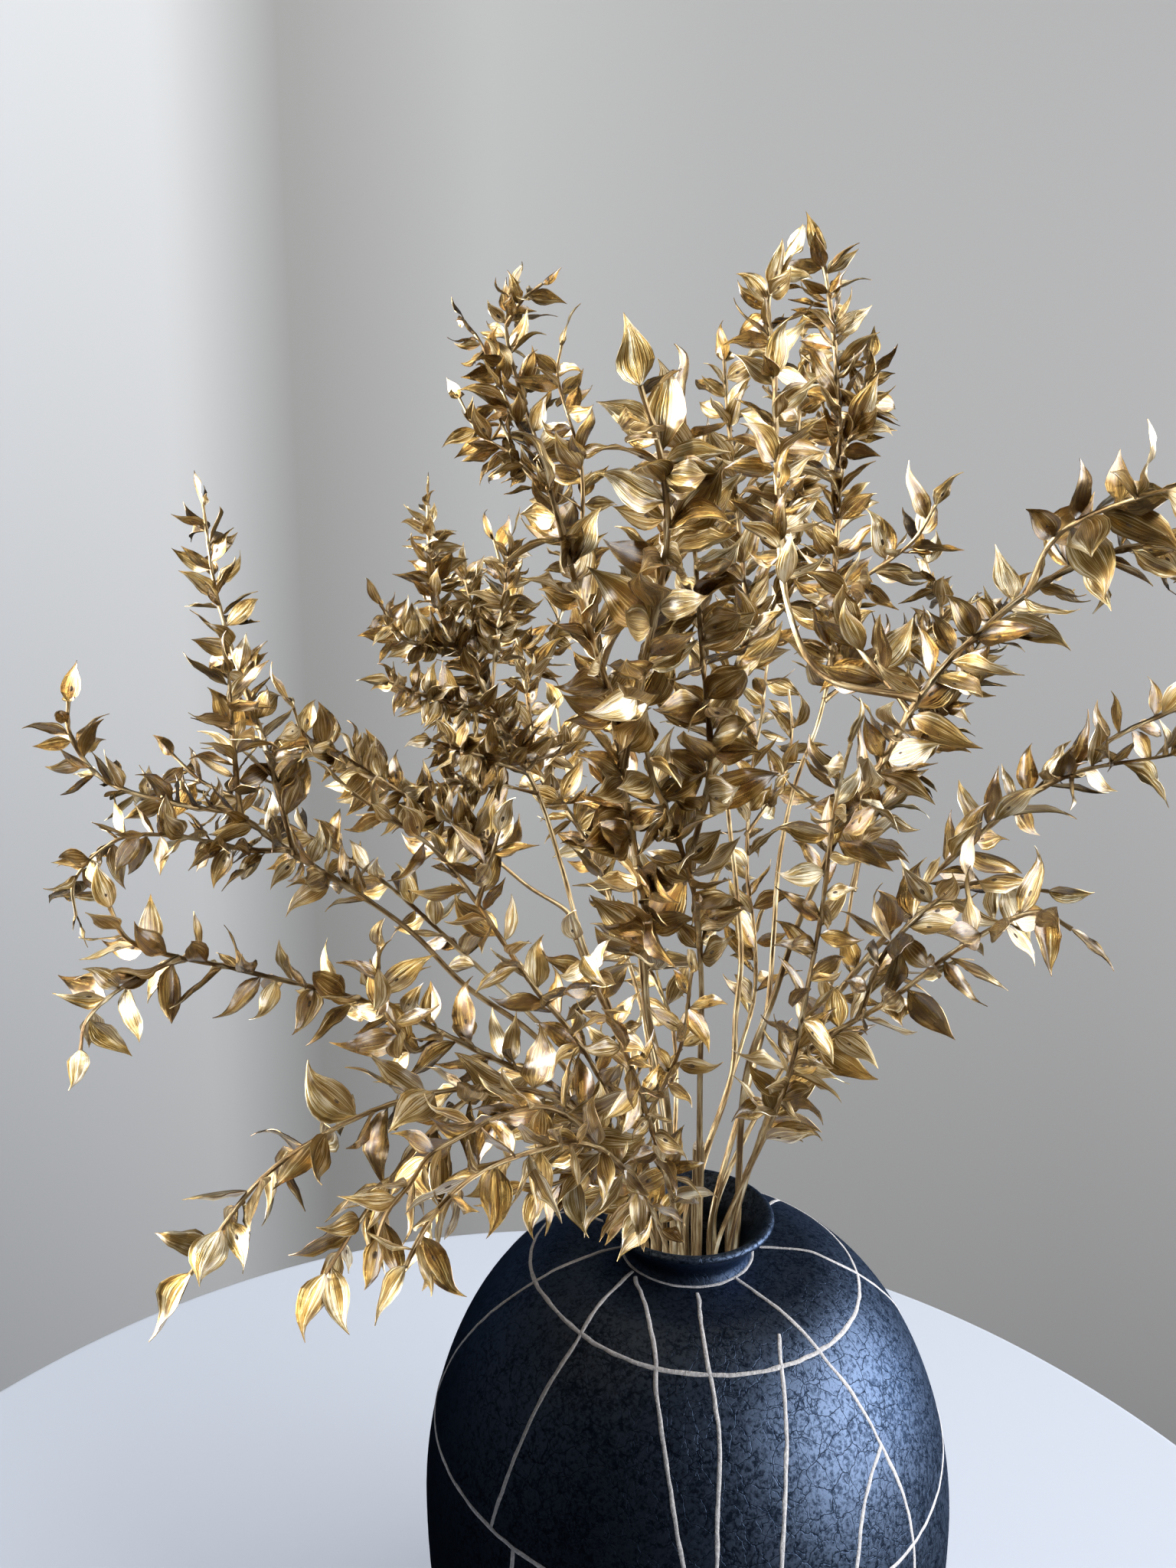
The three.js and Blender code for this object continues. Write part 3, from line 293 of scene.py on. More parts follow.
# Each stem: its name, its place in the neck as (degrees, radius), and its strands, first the stem itself and
# then its shoots. A strand has its girth, the length of its leaves, the distance between them, the share of
# its length where they start, 1 for broad leaves, how far they droop, and the points that its axis runs
# through above the neck. A shoot starts at the stem's nearest point. One with no leaf length stays bare.
STRAND_KEYS = ("girth", "leaf", "every", "start", "broad", "droop", "route")
STEMS = (
    ("low_left", (-153, 21),
     (2.1, 32, 9.5, 0.1, 1, 0.3, ((-47, -24, 309), (-66, -31, 325), (-97, -41, 331), (-132, -54, 327),
      (-169, -70, 309), (-194, -86, 278))),
     (1.4, 28, 8.2, 0.1, 0, 0.4, ((-89, -40, 331), (-109, -60, 319), (-127, -83, 303), (-139, -104, 290)))),
    ("low_drooping", (-119, 21),
     (1.9, 27, 8.2, 0.05, 0, 0.4, ((-37, -60, 313), (-52, -74, 325), (-61, -84, 328), (-76, -100, 331),
      (-86, -114, 332), (-94, -127, 330), (-98, -138, 328), (-102, -152, 324))),
     (1.1, 25, 8.2, 0.1, 0, 0.6, ((-37, -60, 313), (-57, -72, 307), (-69, -78, 310)))),
    ("low_left_front", (-136, 21),
     (1.9, 28, 8.2, 0.08, 0, 0.4, ((-44, -44, 312), (-62, -59, 332), (-79, -73, 335), (-91, -84, 333),
      (-102, -96, 331), (-108, -105, 325), (-114, -116, 321), (-116, -124, 316)))),
    ("low_centre", (-100, 21),
     (1.9, 21, 7.6, 0.15, 0, 0.1, ((-23, -52, 331), (-29, -66, 353), (-35, -81, 373), (-41, -95, 392),
      (-45, -107, 406), (-49, -118, 420))),
     (1.1, 20, 10.2, 0.2, 0, 0.1, ((-20, -48, 324), (-10, -67, 360), (-8, -86, 397)))),
    ("big_leaf_left", (-122, 12),
     (2.2, 28, 9.8, 0.42, 1, 0, ((-11, -18, 314), (-21, -32, 365), (-22, -42, 403), (-30, -57, 449),
      (-35, -69, 486), (-47, -84, 526), (-57, -100, 563))),
     (1.7, 27, 9.3, 0.2, 1, 0, ((-33, -66, 466), (-25, -87, 511), (-20, -106, 546), (-23, -121, 571),
      (-30, -134, 590)))),
    ("centre", (-70, 11.5),
     (2.3, 27, 10.2, 0.6, 1, 0.1, ((2, -24, 329), (1, -34, 368), (-1, -41, 393), (-4, -47, 415),
      (-9, -52, 432), (-15, -57, 448), (-21, -62, 462), (-24, -66, 475))),
     (1.3, 26, 9.3, 0.15, 1, 0, ((-7, -48, 427), (0, -58, 464), (-5, -71, 510), (-9, -82, 544),
      (-15, -98, 591)))),
    ("right_low", (-35, 21),
     (1.9, 28, 8.9, 0.25, 0, 0.15, ((33, -26, 318), (44, -37, 345), (72, -57, 376), (94, -74, 404),
      (113, -89, 420), (122, -96, 416))),
     (1.2, 28, 8.2, 0.1, 0, 0.1, ((58, -48, 364), (70, -53, 394), (97, -60, 422), (125, -66, 421)))),
    ("right_mid", (20, 21),
     (2.3, 29, 9.5, 0.2, 0, 0, ((50, 18, 312), (66, 23, 343), (94, 30, 376), (112, 34, 399), (157, 42, 436),
      (198, 49, 462), (245, 56, 483), (263, 60, 500))),
     (1.3, 28, 8.9, 0.1, 0, 0.2, ((157, 42, 436), (175, 34, 448), (209, 20, 458), (222, 14, 464)))),
    ("left_low_far", (-171, 21),
     (2.1, 28, 8.2, 0.2, 0, -0.05, ((-54, -10, 313), (-84, -13, 331), (-131, -18, 357), (-186, -24, 375),
      (-231, -29, 390), (-237, -30, 404))),
     (1.2, 26, 8.2, 0.1, 0, 0.15, ((-211, -26, 381), (-229, -41, 375), (-240, -53, 365), (-240, -60, 356))),
     (1.2, 27, 9.5, 0.15, 0, 0, ((-107, -16, 345), (-117, -27, 341), (-122, -36, 355), (-126, -45, 367),
      (-123, -66, 400)))),
    ("left_upper", (171, 21),
     (2.3, 24, 8.9, 0.52, 0, 0, ((-51, 20, 306), (-72, 26, 328), (-102, 32, 348), (-126, 38, 371),
      (-151, 43, 388), (-186, 50, 408), (-211, 55, 424), (-234, 58, 427), (-276, 65, 439), (-292, 70, 461),
      (-292, 72, 475))),
     (1.3, 24, 8.2, 0.08, 0, 0.1, ((-186, 50, 408), (-200, 48, 408), (-237, 41, 417), (-259, 37, 416),
      (-279, 33, 397), (-278, 30, 382))),
     (1.5, 26, 8.9, 0.12, 0, -0.1, ((-182, 49, 407), (-198, 64, 458), (-208, 72, 482), (-223, 85, 527),
      (-230, 96, 567))),
     (1.4, 27, 8.2, 0.2, 0, -0.1, ((-208, 54, 424), (-206, 45, 447), (-201, 26, 493)))),
    ("right_arch", (-8, 21),
     (2.4, 30, 9.5, 0.46, 0, 0.1, ((23, -14, 326), (33, -18, 362), (41, -21, 393), (50, -24, 419),
      (61, -27, 447), (72, -29, 465), (80, -31, 483), (94, -34, 504), (104, -36, 514), (113, -37, 523),
      (127, -40, 534), (140, -42, 541), (157, -44, 546), (174, -46, 546), (188, -48, 537), (197, -50, 522))),
     (1.8, 26, 7.6, 0.36, 0, 0, ((85, -26, 489), (49, -10, 496), (37, 1, 522), (34, 18, 567), (34, 37, 619),
      (33, 50, 654), (42, 56, 671))),
     (1.3, 30, 10.2, 0.3, 1, 0.1, ((121, -38, 529), (124, -53, 550), (148, -80, 564), (157, -90, 564))),
     (1.3, 25, 8.2, 0.15, 0, 0, ((42, 4, 507), (58, -3, 523), (83, -15, 549), (89, -20, 562)))),
    ("left_cross", (-178, 13),
     (1.9, 26, 8.9, 0.25, 0, 0, ((-46, -14, 335), (-67, -18, 365), (-78, -20, 383), (-90, -22, 403),
      (-101, -25, 420), (-110, -26, 430), (-126, -28, 442), (-138, -30, 451))),
     (1, 24, 10.2, 0.2, 0, -0.2, ((-90, -22, 403), (-84, -34, 422), (-79, -44, 439)))),
    ("right_inner", (-60, 21),
     (1.7, 22, 8.2, 0.25, 0, 0, ((30, -34, 311), (36, -43, 339), (40, -60, 391), (41, -69, 414),
      (41, -87, 461), (43, -96, 481)))),
    ("mid_left", (132, 21),
     (2.2, 21, 6.9, 0.6, 0, 0, ((-33, 42, 328), (-47, 51, 361), (-58, 60, 399), (-69, 69, 431),
      (-82, 75, 455), (-92, 80, 474), (-102, 85, 490), (-111, 89, 504), (-117, 92, 517), (-121, 97, 538),
      (-123, 104, 567))),
     (1.2, 25, 8.2, 0.3, 0, 0, ((-49, 54, 368), (-56, 50, 379), (-73, 44, 392), (-104, 30, 424),
      (-122, 23, 437), (-152, 9, 461), (-164, 4, 469), (-167, 0, 481))),
     (1.1, 20, 6.9, 0.1, 0, 0, ((-108, 88, 500), (-131, 73, 504), (-140, 60, 521))),
     (1.1, 21, 7.6, 0.2, 0, 0.2, ((-77, 72, 439), (-97, 50, 453), (-115, 30, 463))),
     (1.1, 21, 6.9, 0.2, 0, 0.2, ((-88, 78, 467), (-124, 49, 482), (-134, 40, 488))),
     (1.1, 20, 6.9, 0.1, 0, 0, ((-99, 84, 485), (-103, 107, 517), (-108, 120, 536))),
     (1.1, 21, 6.9, 0.25, 0, 0.1, ((-92, 80, 474), (-88, 83, 506), (-84, 88, 531), (-82, 93, 552))),
     (1, 20, 6.9, 0.3, 0, 0.1, ((-69, 69, 431), (-94, 60, 438), (-116, 49, 439)))),
    ("top_right", (25, 12),
     (2, 26, 8.9, 0.55, 0, 0, ((38, 34, 331), (42, 43, 369), (45, 51, 404), (53, 59, 439), (63, 65, 464),
      (69, 71, 488), (71, 76, 514), (72, 82, 538), (74, 88, 565), (75, 94, 592), (74, 100, 620),
      (72, 107, 649), (69, 111, 671), (67, 115, 684))),
     (1.1, 25, 8.2, 0.15, 0, 0.1, ((75, 92, 588), (87, 103, 617), (90, 110, 636))),
     (1.2, 22, 8.2, 0.2, 0, 0, ((71, 72, 474), (101, 82, 498), (116, 85, 503), (126, 89, 514),
      (118, 96, 542)))),
    ("top_left", (170, 4),
     (2.1, 24, 8.2, 0.66, 0, 0, ((-12, 12, 303), (-18, 23, 335), (-24, 44, 398), (-31, 64, 460),
      (-38, 73, 488), (-43, 81, 513), (-56, 93, 552), (-69, 106, 594), (-82, 119, 636), (-85, 124, 654),
      (-81, 130, 673))),
     (1.2, 22, 6.9, 0.2, 0, 0.1, ((-69, 104, 594), (-78, 108, 604), (-97, 123, 645), (-106, 128, 657))),
     (1.1, 22, 7.6, 0.15, 0, 0.1, ((-62, 96, 572), (-74, 102, 582), (-93, 120, 619))),
     (1.3, 24, 8.9, 0.3, 0, 0.1, ((-49, 80, 533), (-48, 82, 584), (-59, 83, 625), (-57, 84, 638))),
     (1, 21, 6.9, 0.3, 0, 0.3, ((-62, 96, 572), (-80, 104, 590), (-98, 111, 602), (-108, 116, 619))),
     (1, 21, 6.9, 0.2, 0, 0.1, ((-85, 124, 654), (-77, 121, 665), (-67, 118, 672)))),
    ("right_cut", (48, 21),
     (2.2, 0, 0, 0, 0, 0, ((49, 52, 296), (70, 69, 321), (82, 82, 342), (96, 110, 395))),
     (1.6, 28, 8.9, 0.1, 0, 0, ((92, 102, 375), (101, 113, 404), (129, 128, 440), (157, 145, 485),
      (184, 160, 523)))),
    ("left_long", (152, 21),
     (2, 24, 8.9, 0.42, 0, 0, ((-48, 50, 297), (-74, 62, 322), (-103, 74, 345), (-149, 92, 381),
      (-190, 106, 402), (-232, 119, 420), (-249, 124, 427), (-265, 130, 440))),
     (1.1, 22, 8.2, 0.1, 0, 0.1, ((-250, 126, 426), (-267, 132, 419), (-284, 138, 411)))),
    ("centre_back", (85, 11.5),
     (2.2, 27, 9.5, 0.6, 0, 0, ((23, 34, 304), (25, 42, 328), (28, 50, 353), (27, 59, 379), (22, 77, 436),
      (23, 87, 468), (28, 94, 490), (36, 100, 507), (33, 106, 527), (29, 120, 572), (25, 134, 621),
      (24, 140, 640))),
     (1.2, 25, 9.5, 0.1, 0, 0, ((37, 106, 507), (46, 110, 513), (58, 125, 553), (63, 142, 603),
      (67, 160, 655)))),
    ("mid_back", (142, 12),
     (1.9, 23, 8.9, 0.45, 0, 0, ((-18, 50, 324), (-28, 70, 356), (-40, 91, 390), (-55, 107, 414),
      (-70, 119, 432), (-74, 129, 450), (-78, 141, 473), (-83, 154, 499), (-89, 167, 525), (-97, 180, 552))),
     (1.1, 22, 8.2, 0.1, 0, 0, ((-78, 148, 473), (-68, 159, 492), (-59, 170, 513))),
     (1.1, 22, 8.2, 0.1, 0, 0.1, ((-74, 128, 438), (-59, 143, 438), (-48, 160, 450)))),
    ("back_right", (76, 21),
     (1.9, 26, 10.2, 0.3, 0, 0, ((30, 66, 298), (40, 85, 323), (42, 104, 349), (40, 123, 377), (46, 155, 429),
      (53, 172, 457), (57, 186, 482), (63, 200, 507))),
     (1.1, 25, 9.5, 0.15, 0, 0, ((41, 136, 399), (61, 149, 422), (68, 160, 446), (67, 170, 470)))),
    ("back_left", (104, 21),
     (1.9, 24, 10.2, 0.3, 0, 0, ((-2, 70, 308), (-12, 95, 331), (-26, 114, 348), (-38, 135, 369),
      (-46, 154, 391), (-54, 172, 413), (-60, 189, 435), (-63, 204, 455))),
     (1.1, 23, 9.5, 0.15, 0, 0, ((-38, 138, 369), (-31, 152, 391), (-29, 166, 414)))),
)


def random_from(seed):
    """Seeded random numbers from 0 to 1, the same as in the CAD source."""
    state = seed
    while True:
        state = (state * RANDOM_STEP) % RANDOM_LIMIT
        yield state / RANDOM_LIMIT


def vec(*values):
    return np.array(values, float)


# These spell out the sums in the CAD source's order, so that both round alike.
def dot(a, b):
    return a[0] * b[0] + a[1] * b[1] + a[2] * b[2]


def cross(a, b):
    return vec(a[1] * b[2] - a[2] * b[1], a[2] * b[0] - a[0] * b[2], a[0] * b[1] - a[1] * b[0])


def size(a):
    return math.sqrt(dot(a, a))


def unit(a):
    return a / size(a)


def between(pair, share):
    return pair[0] + (pair[1] - pair[0]) * share


def turned(a, b, angle):
    return a * math.cos(angle) + b * math.sin(angle)


def rows_unit(a):
    """Each row of an array at length one."""
    return a / np.maximum(np.linalg.norm(a, axis=-1, keepdims=True), 1e-12)


def upper_height(radius):
    """Height of the vase's upper half at a radius."""
    share = min(1, max(0, (radius - SHOULDER_FLAT_RADIUS) / (BODY_RADIUS - SHOULDER_FLAT_RADIUS)))
    rise = (1 - share ** UPPER_FULLNESS) ** (1 / UPPER_FULLNESS)
    return WIDEST_HEIGHT + (SHOULDER_HEIGHT - WIDEST_HEIGHT) * rise


def curve_through(points):
    """Centripetal Catmull-Rom curve through the points."""
    points = [2 * points[0] - points[1], *points, 2 * points[-1] - points[-2]]
    out = []
    for p0, p1, p2, p3 in zip(points, points[1:], points[2:], points[3:]):
        t1 = math.sqrt(size(p1 - p0))
        t2 = t1 + math.sqrt(size(p2 - p1))
        t3 = t2 + math.sqrt(size(p3 - p2))
        for k in range(CURVE_STEPS):
            t = t1 + (t2 - t1) * k / CURVE_STEPS
            a1 = p0 + (p1 - p0) * (t / t1)
            a2 = p1 + (p2 - p1) * ((t - t1) / (t2 - t1))
            a3 = p2 + (p3 - p2) * ((t - t2) / (t3 - t2))
            b1 = a1 + (a2 - a1) * (t / t2)
            b2 = a2 + (a3 - a2) * ((t - t1) / (t3 - t1))
            out.append(b1 + (b2 - b1) * ((t - t1) / (t2 - t1)))
    out.append(points[-2])
    return out


def nearest_on_piece(start, end, point):
    span = end - start
    share = dot(point - start, span) / dot(span, span)
    return start + span * max(0, min(1, share))


def simplified(line):
    """The fewest points of a fine line that keep it within the tolerance."""
    away = [size(p - nearest_on_piece(line[0], line[-1], p)) for p in line[1:-1]]
    if not away or max(away) <= CURVE_TOLERANCE:
        return [line[0], line[-1]]
    split = 1 + away.index(max(away))
    return simplified(line[:split + 1])[:-1] + simplified(line[split:])


def distances(line):
    return [0.0, *np.cumsum([size(b - a) for a, b in zip(line, line[1:])])]


def square_to(axis):
    """Two directions square to an axis."""
    side = unit(cross(vec(0, 0, 1) if abs(axis[2]) < 0.9 else vec(1, 0, 0), axis))
    return side, cross(axis, side)


def rings_along(line, radius):
    """Corners of the CAD source's four-sided bar, ring by ring."""
    axes = [unit(b - a) for a, b in zip(line, line[1:])]
    side, up = square_to(axes[0])
    rings = [[line[0] + turned(side, up, 2 * math.pi * k / STEM_SIDES) * radius for k in range(STEM_SIDES)]]
    for i, axis in enumerate(axes):
        mitre = unit(axis + axes[min(i + 1, len(axes) - 1)])
        rings.append([p + axis * (dot(line[i + 1] - p, mitre) / dot(axis, mitre)) for p in rings[i]])
    return rings


def facet_towards(outward, centre, axis, ring):
    """The middle of the bar's face that looks most nearly outward, measured from a point on its axis."""
    facets = []
    for k, corner in enumerate(ring):
        middle = (corner + ring[(k + 1) % len(ring)]) / 2 - centre
        facets.append(middle - axis * dot(middle, axis))
    return max(facets, key=lambda facet: dot(facet, outward))


class Piece:
    """A convex piece for the clearance test: a leaf, half a broad leaf, or a straight bit of stem."""

    def __init__(self, points, triangles, radius, owner, root=None):
        self.points = np.array(points)
        self.radius, self.owner, self.root = radius, owner, root
        self.low = self.points.min(0) - radius
        self.high = self.points.max(0) + radius
        a, b = np.triu_indices(len(points), 1)
        self.edges = rows_unit(self.points[b] - self.points[a])
        corners = self.points[np.array(triangles, int).reshape(-1, 3)]
        self.normals = rows_unit(np.cross(corners[:, 1] - corners[:, 0], corners[:, 2] - corners[:, 0]))

    def gap_to(self, other):
        """Widest gap over the directions that can part the two: negative where they cross."""
        axes = np.cross(self.edges[:, None], other.edges[None]).reshape(-1, 3)
        lengths = np.linalg.norm(axes, axis=1)
        axes = axes[lengths > SMALLEST] / lengths[lengths > SMALLEST, None]
        axes = np.concatenate([self.normals, other.normals, axes])
        mine, theirs = self.points @ axes.T, other.points @ axes.T
        gaps = np.maximum(theirs.min(0) - mine.max(0), mine.min(0) - theirs.max(0))
        return gaps.max() - self.radius - other.radius


class Placed:
    """All the pieces that leaves must keep clear of."""

    def __init__(self):
        self.pieces = []
        self.low, self.high = np.zeros((2, MOST_PIECES, 3))
        self.owner = np.zeros(MOST_PIECES, int)

    def add(self, piece):
        n = len(self.pieces)
        self.low[n], self.high[n], self.owner[n] = piece.low, piece.high, piece.owner
        self.pieces.append(piece)

    def clears(self, piece, clearance, own_clearance):
        n = len(self.pieces)
        gap = np.where(self.owner[:n] == piece.owner, own_clearance, clearance)
        apart = (piece.low > self.high[:n] + gap[:, None]) | (self.low[:n] > piece.high + gap[:, None])
        for k in np.nonzero(~apart.any(1))[0]:
            other = self.pieces[k]
            if other.owner == piece.owner:
                near = other.root
                if near is None:
                    near = nearest_on_piece(other.points[0], other.points[1], piece.root)
                if size(near - piece.root) < ROOT_REACH + other.radius:
                    continue
            if piece.gap_to(other) < gap[k]:
                return False
        return True


def clears_vase(point):
    radius = math.hypot(point[0], point[1])
    top = LIP_TOP if radius < SHOULDER_FLAT_RADIUS else upper_height(radius)
    return point[2] > top + VASE_CLEARANCE


def leaf_parts(leaf):
    """A leaf as convex parts (points, triangles), as in the CAD source."""
    root, along, face = leaf["root"], leaf["along"], leaf["face"]
    length, half = leaf["length"], leaf["half"]
    across = cross(face, along)

    def raised(share, reach):
        return root + along * (share * length) + across * reach + face * (leaf["lift"] * abs(reach))

    base = [root, root + along * length, root + along * (KEEL_AT * length) - face * leaf["keel"]]
    if not leaf["broad"]:
        points = [*base, raised(WIDEST_AT, half), raised(WIDEST_AT, -half)]
        return [(points, [(0, 3, 4), (3, 1, 4), (0, 2, 3), (2, 1, 3), (0, 4, 2), (4, 1, 2)])]
    faces = [(0, 3, 4), (0, 4, 1), (2, 3, 0), (2, 4, 3), (2, 1, 4), (0, 1, 2)]
    return [([*base, *(raised(s, w * reach) for s, w in BROAD_RIM)], faces) for reach in (half, -half)]


def slot_point(slot, height, spread=1):
    turn = math.radians(slot[0])
    return vec(slot[1] * spread * math.cos(turn), slot[1] * spread * math.sin(turn), height)


def place_leaf(strand, owner, distance, order, count, draws, placed, extra):
    """One leaf of a strand, or None where it would touch something in every try."""
    turn_by, lean_by, droop_by, roll_by, length_by, width_by, lift_by = draws
    lean_range, length_range, roll_spread, clearances = ADDED if extra else GROWN
    terminal = order == count
    marks, line = strand["marks"], strand["line"]
    i = 1
    while i < len(marks) - 1 and marks[i] < distance:
        i += 1
    axis = unit(line[i] - line[i - 1])
    centre = line[i - 1] + axis * (distance - marks[i - 1])
    side, up = square_to(axis)
    lean = TIP_LEAN if terminal else between(lean_range, lean_by)
    for attempt in range(TRIES):
        outward = turned(side, up, LEAF_TURN * order + TURN_SPREAD * (turn_by - 0.5) + RETRY_TURN * attempt)
        if extra:
            facet = outward * (strand["radius"] * EXTRA_SEAT)
        else:
            facet = facet_towards(outward, centre, axis, strand["rings"][i - 1])
            outward = unit(facet)
        fall = strand["droop"] * between(DROOP_RANGE, droop_by)
        along = unit(turned(axis, outward, lean) - vec(0, 0, fall))
        level = unit(outward - along * dot(outward, along))
        face = turned(-level, cross(along, level), roll_spread * (roll_by - 0.5))
        if extra:
            face = face + vec(*SHOWN_FACE)
            face = unit(face - along * dot(face, along))
        shrink = (1 - TIP_SHRINK * order / max(1, count)) * (1 - RETRY_SHRINK * attempt)
        length = strand["leaf"] * between(length_range, length_by) * shrink
        width = BROAD_WIDTH if strand["broad"] else SLIM_WIDTH
        leaf = {
            "root": (centre if terminal else centre + facet) - along * SINK, "along": along, "face": face,
            "length": length, "half": length * width * between(WIDTH_RANGE, width_by),
            "lift": between(LIFT_RANGE, lift_by), "keel": max(LEAST_KEEL, KEEL_DEPTH * length),
            "broad": strand["broad"], "centre": centre, "outward": outward, "terminal": terminal,
        }
        parts = leaf_parts(leaf)
        if not all(clears_vase(point) for points, _ in parts for point in points):
            continue
        pieces = [Piece(points, faces, 0, owner, leaf["root"]) for points, faces in parts]
        if all(placed.clears(piece, *clearances) for piece in pieces):
            for piece in pieces:
                placed.add(piece)
            return leaf
    return None


def spread_leaves(strand, owner, placed, extra, share, random):
    """Sets leaves along a strand: those of the CAD source where extra is 0, or else a round of added ones."""
    total = strand["marks"][-1]
    first = strand["hidden"] + (total - strand["hidden"]) * strand["start"]
    count = math.floor((total - first) / strand["every"])
    for order in range(count + (not extra)):
        shift_by, *draws = [next(random) for _ in range(8)]
        shift = STEP_SPREAD * (shift_by - 0.5) + share
        step = first + strand["every"] * (order + shift)
        distance = total if order == count else min(step, total - TIP_MARGIN)
        leaf = place_leaf(strand, owner, distance, order + 0.5 * extra, count, draws, placed, extra)
        if leaf:
            strand["leaves"].append(leaf)


def grow_stems():
    """Axes, radii and leaves of every stem and shoot."""
    placed = Placed()
    stems = []
    for owner, (name, slot, *given) in enumerate(STEMS):
        rise = [slot_point(slot, height) for height in (FOOT_HEIGHT, *SLOT_HEIGHTS)]
        rise.append(slot_point(slot, LIP_HEIGHT, LIP_SPREAD))
        strands = []
        for numbers in given:
            strand = dict(zip(STRAND_KEYS, numbers))
            points = [np.array(point, float) for point in strand["route"]]
            if strands:
                joint = min(strands[0]["fine"], key=lambda point: size(point - points[0]))
                fine, hidden = curve_through([joint, *points[1:]]), 0
            else:
                fine = curve_through(rise + points)
                hidden = distances(fine)[(len(rise) - 1) * CURVE_STEPS]
            line = simplified(fine)
            radius = max(THINNEST, MEAN_GIRTH * strand["girth"])
            strand.update(fine=fine, hidden=hidden, line=line, marks=distances(line), radius=radius,
                          rings=rings_along(line, radius), leaves=[], cut=name == CUT_STEM and not strands)
            for ends in zip(line, line[1:]):
                placed.add(Piece(ends, [], radius, owner))
            strands.append(strand)
        stems.append({"name": name, "strands": strands})
    for extra in range(1 + max(MORE_LEAVES.values())):
        for owner, stem in enumerate(stems):
            rounds = MORE_LEAVES.get(stem["name"], EXTRA_LEAVES)
            for number, strand in enumerate(stem["strands"]):
                if extra <= rounds and strand["leaf"]:
                    seed = SEEDS[0] + owner * SEEDS[1] + number * SEEDS[2] + extra * EXTRA_SEED
                    spread_leaves(strand, owner, placed, extra, extra / (1 + rounds), random_from(seed))
    return stems


class Shell:
    """Points and faces gathered for one Blender object, with a grain coordinate at each point."""

    def __init__(self):
        self.points, self.grain, self.faces, self.finish = [], [], [], []
        self.count = 0

    def add(self, points, grain, *groups):
        """Adds points (n x 3), their grain coordinates (n x 3) and groups of (faces, finish)."""
        self.points.append(points)
        self.grain.append(grain)
        for faces, finish in groups:
            self.faces.append(faces + self.count)
            self.finish.append(np.full(len(faces), finish))
        self.count += len(points)

    def build(self, name, materials, sharp=50):
        """The object, in metres, smooth but for edges sharper than the given angle."""
        mesh = bpy.data.meshes.new(name)
        mesh.vertices.add(self.count)
        mesh.vertices.foreach_set("co", np.concatenate(self.points).astype(np.float32).ravel() / 1000)
        corners = np.concatenate([faces.ravel() for faces in self.faces])
        sizes = np.concatenate([np.full(len(faces), faces.shape[1]) for faces in self.faces])
        mesh.loops.add(len(corners))
        mesh.loops.foreach_set("vertex_index", corners.astype(np.int32))
        mesh.polygons.add(len(sizes))
        mesh.polygons.foreach_set("loop_start", np.concatenate([[0], np.cumsum(sizes)[:-1]]).astype(np.int32))
        mesh.polygons.foreach_set("material_index", np.concatenate(self.finish).astype(np.int32))
        mesh.polygons.foreach_set("use_smooth", np.ones(len(sizes), bool))
        mesh.update(calc_edges=True)
        grain = mesh.attributes.new("grain", "FLOAT_VECTOR", "POINT")
        grain.data.foreach_set("vector", np.concatenate(self.grain).astype(np.float32).ravel())
        mesh.set_sharp_from_angle(angle=math.radians(sharp))
        for material in materials:
            mesh.materials.append(material)
        piece = bpy.data.objects.new(name, mesh)
        bpy.context.scene.collection.objects.link(piece)
        return piece


def loop_faces(rings, sides):
    """Quads between rings of points that close on themselves, facing out when they turn with the axis."""
    ring, k = np.meshgrid(np.arange(rings - 1), np.arange(sides), indexing="ij")
    a, b = ring * sides + k, ring * sides + (k + 1) % sides
    return np.stack([a, b, b + sides, a + sides], -1).reshape(-1, 4)


def fan_faces(centre, first, sides, turned_in):
    """Triangles from a centre point to a ring of points."""
    k = np.arange(sides)
    a, b = first + k, first + (k + 1) % sides
    tip = np.full(sides, centre)
    return np.stack([tip, b, a] if turned_in else [tip, a, b], -1)


def end_fans(rings, sides):
    """The two end faces of a row of rings, about two points that follow the rings."""
    centre = rings * sides
    return fan_faces(centre, 0, sides, True), fan_faces(centre + 1, centre - sides, sides, False)


def marks_along(line):
    """The distance of each row of a line from its start."""
    return np.concatenate([[0], np.cumsum(np.linalg.norm(np.diff(line, axis=0), axis=1))])


def at_places(places, marks, rows):
    """Rows of values, read off at places between the marks."""
    return np.stack([np.interp(places, marks, column) for column in rows.T], 1)


